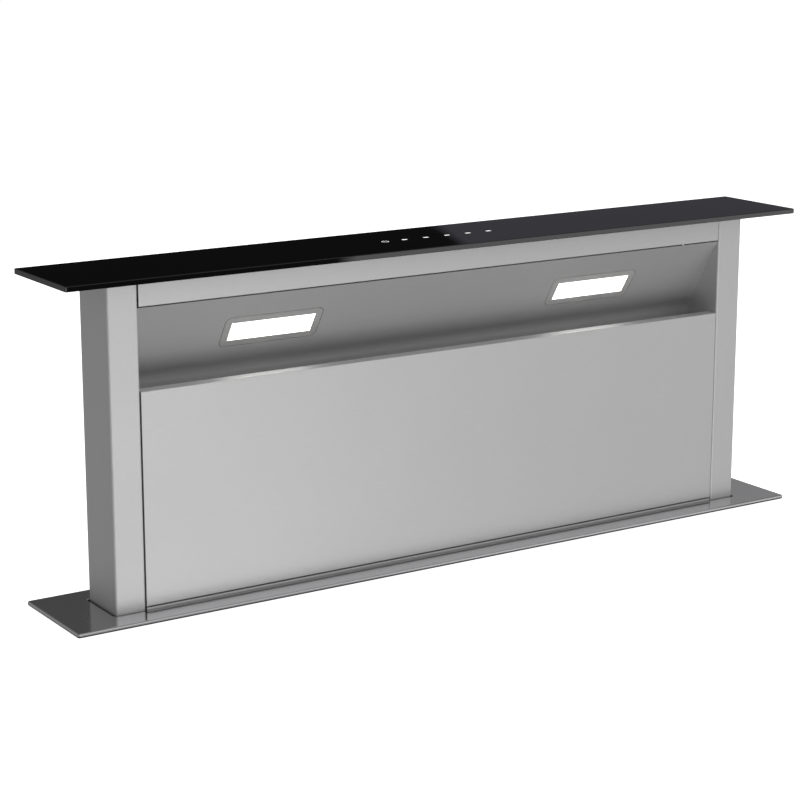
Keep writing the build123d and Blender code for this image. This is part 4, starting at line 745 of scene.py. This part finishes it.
# %% Borders in degrees
BORDERS = {
    "over_table": (elevation, 2, 4),
    "under_top": (elevation, 30, 20),
    "to_right": (azimuth, -10, 10),
    "strip_foot": (elevation, -13, -12),
    "strip_top": (elevation, -6, -7),
}
shares = {}
for border, (angle, start, end) in BORDERS.items():
    shares[border] = add_node(
        tree, "ShaderNodeMapRange", {0: angle, 1: start * DEGREE, 2: end * DEGREE}
    ).outputs[0]
print(list(shares), "go from 0 to 1")

# %% [markdown]
# The black glass is a clear mirror, and what it shows lies behind the tower on the right. In the photograph that is a
# nearly black wall beside a dark grey one, with a leaning border. A leaning border needs both angles, so the azimuth
# minus a multiple of the elevation decides on which side a direction lies.

# %% The wall that the glass shows
WALL_BORDER = (34.5, 9.3)
WALL_LEAN = 1.52
WALL_SOFTNESS = 0.2
WALL_BLACK = (0.009, 0.009, 0.009, 1)
WALL_GREY = (0.088, 0.085, 0.1, 1)
lean_at_border = WALL_BORDER[0] - WALL_LEAN * WALL_BORDER[1]
lean = add_node(
    tree, "ShaderNodeMath", {0: elevation, 1: -WALL_LEAN, 2: azimuth}, operation="MULTIPLY_ADD"
).outputs[0]
grey_share = add_node(
    tree, "ShaderNodeMapRange",
    {0: lean, 1: (lean_at_border - WALL_SOFTNESS) * DEGREE, 2: (lean_at_border + WALL_SOFTNESS) * DEGREE},
).outputs[0]
wall = add_node(tree, "ShaderNodeMix", {0: grey_share, 6: WALL_BLACK, 7: WALL_GREY}, data_type="RGBA").outputs[2]
print("the walls meet at azimuth and elevation", WALL_BORDER)

# %% [markdown]
# Above the wall the room gets lighter towards the far right. The flange lies lower than the glass and is seen more
# steeply, so it mirrors this higher part. Both stand in the right half only, between the table and the ceiling, and
# the plain levels fill the rest.

# %% The whole back
WALL_TOP = (12, 14)
FAR_RIGHT = (24, 44)
FAR_RIGHT_LEVELS = (0.075, 0.30)
above_wall = add_node(
    tree, "ShaderNodeMapRange", {0: elevation, 1: WALL_TOP[0] * DEGREE, 2: WALL_TOP[1] * DEGREE},
    interpolation_type="SMOOTHSTEP",
).outputs[0]
far_right = add_node(
    tree, "ShaderNodeMapRange",
    {
        0: azimuth, 1: FAR_RIGHT[0] * DEGREE, 2: FAR_RIGHT[1] * DEGREE,
        3: FAR_RIGHT_LEVELS[0], 4: FAR_RIGHT_LEVELS[1],
    },
    interpolation_type="SMOOTHSTEP",
).outputs[0]
wall = add_node(tree, "ShaderNodeMix", {0: above_wall, 6: wall, 7: far_right}, data_type="RGBA").outputs[2]
wall_share = shares["to_right"]
for border in ("over_table", "under_top"):
    wall_share = add_node(tree, "ShaderNodeMath", {0: wall_share, 1: shares[border]}, operation="MULTIPLY").outputs[0]
back = add_node(
    tree, "ShaderNodeMix", {0: shares["to_right"], 6: levels["back"], 7: levels["back_right"]}, data_type="RGBA"
).outputs[2]
back = add_node(tree, "ShaderNodeMix", {0: wall_share, 6: back, 7: wall}, data_type="RGBA").outputs[2]
print("the wall ends at", WALL_TOP, "degrees")

# %% [markdown]
# The front is the run by height times the run from left to right. The polished front edge of the glass mirrors only
# a low strip of it. In the photograph that edge is dark on the left and bright on the right, so the strip has two
# levels with a hard border between them.

# %% The whole front
STRIP_BORDER = (148.7, 148.2)
STRIP_LEVELS = (0.06, 1.75)
front = add_node(
    tree, "ShaderNodeMix", {0: 1.0, 6: levels["front"], 7: levels["front_sideways"]},
    data_type="RGBA", blend_type="MULTIPLY",
).outputs[2]
strip_share = add_node(
    tree, "ShaderNodeMath", {0: shares["strip_foot"], 1: shares["strip_top"]}, operation="MULTIPLY"
).outputs[0]
strip = add_node(
    tree, "ShaderNodeMapRange",
    {
        0: azimuth, 1: STRIP_BORDER[0] * DEGREE, 2: STRIP_BORDER[1] * DEGREE,
        3: STRIP_LEVELS[0], 4: STRIP_LEVELS[1],
    },
).outputs[0]
front = add_node(tree, "ShaderNodeMix", {0: strip_share, 6: front, 7: strip}, data_type="RGBA").outputs[2]
print("the strip goes from", STRIP_LEVELS[0], "to", STRIP_LEVELS[1])

# %% [markdown]
# The front and the back blend into each other at the sides, by the direction's y. The camera itself sees none of
# this: for its rays the world is pure white, as the background of the photograph is.

# %% The whole studio
FRONT_BLEND = (0.45, -0.3)
front_share = add_node(
    tree, "ShaderNodeMapRange", {0: axes[1], 1: FRONT_BLEND[0], 2: FRONT_BLEND[1]}, interpolation_type="SMOOTHSTEP"
).outputs[0]
studio = add_node(tree, "ShaderNodeMix", {0: front_share, 6: back, 7: front}, data_type="RGBA").outputs[2]
is_camera = add_node(tree, "ShaderNodeLightPath").outputs["Is Camera Ray"]
shown = add_node(tree, "ShaderNodeMix", {0: is_camera, 6: studio, 7: linear("#ffffff")}, data_type="RGBA").outputs[2]
background = add_node(tree, "ShaderNodeBackground", {"Color": shown})
add_node(tree, "ShaderNodeOutputWorld", {"Surface": background.outputs[0]})
print(world.name, "has", len(tree.nodes), "nodes")

# %% [markdown]
# Plastic and rubber mirror little, so they need some light of their own. Two large soft lamps give it. They are kept
# out of the reflections, which the world has already settled. The third lamp is meant to be mirrored: it lies low in
# front of the tower and gives the steel front its brighter zone on the left. The table gives each lamp's place, the
# point it faces, its width and height in metres, its power in watts, and whether it is mirrored.

# %% Three soft lamps
SOFT_LAMPS = {
    "key_softbox": ((-1.5, -3.2, 2.2), (0, 0, 0.2), (2.4, 1.6), 40, False),
    "top_softbox": ((0.3, 0.2, 3.0), (0, 0, 0), (2.5, 2.5), 30, False),
    "low_softbox": ((0.0, -1.15, -0.24), (-0.4, 0, 0.08), (0.75, 0.65), 1.7, True),
}
for name, (place, target, size, power, mirrored) in SOFT_LAMPS.items():
    lamp_data = bpy.data.lights.new(name, "AREA")
    lamp_data.shape = "RECTANGLE"
    lamp_data.size, lamp_data.size_y = size
    lamp_data.energy = power
    lamp = bpy.data.objects.new(name, lamp_data)
    lamp.location = place
    lamp.rotation_euler = (Vector(target) - Vector(place)).to_track_quat("-Z", "Y").to_euler()
    lamp.visible_glossy = mirrored
    lamp.visible_camera = False
    bpy.context.scene.collection.objects.link(lamp)
    print(name, power, "W", "seen in the steel" if mirrored else "for the matt pieces only")

# %% [markdown]
# Without a limit, the low lamp would also light the rim of the flange and the edge of the glass. Light linking keeps
# it to the front sheets. The view is Standard, because it shows white as white, and the ground has to be that.

# %% The low lamp for the front sheets only
front_sheets = bpy.data.collections.new("front_sheets")
for name in ("header_rail", "lower_front_panel", "front_panel", "light_panel", "left_column", "right_column"):
    front_sheets.objects.link(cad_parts[name])
bpy.data.objects["low_softbox"].light_linking.receiver_collection = front_sheets
bpy.context.scene.view_settings.view_transform = "Standard"
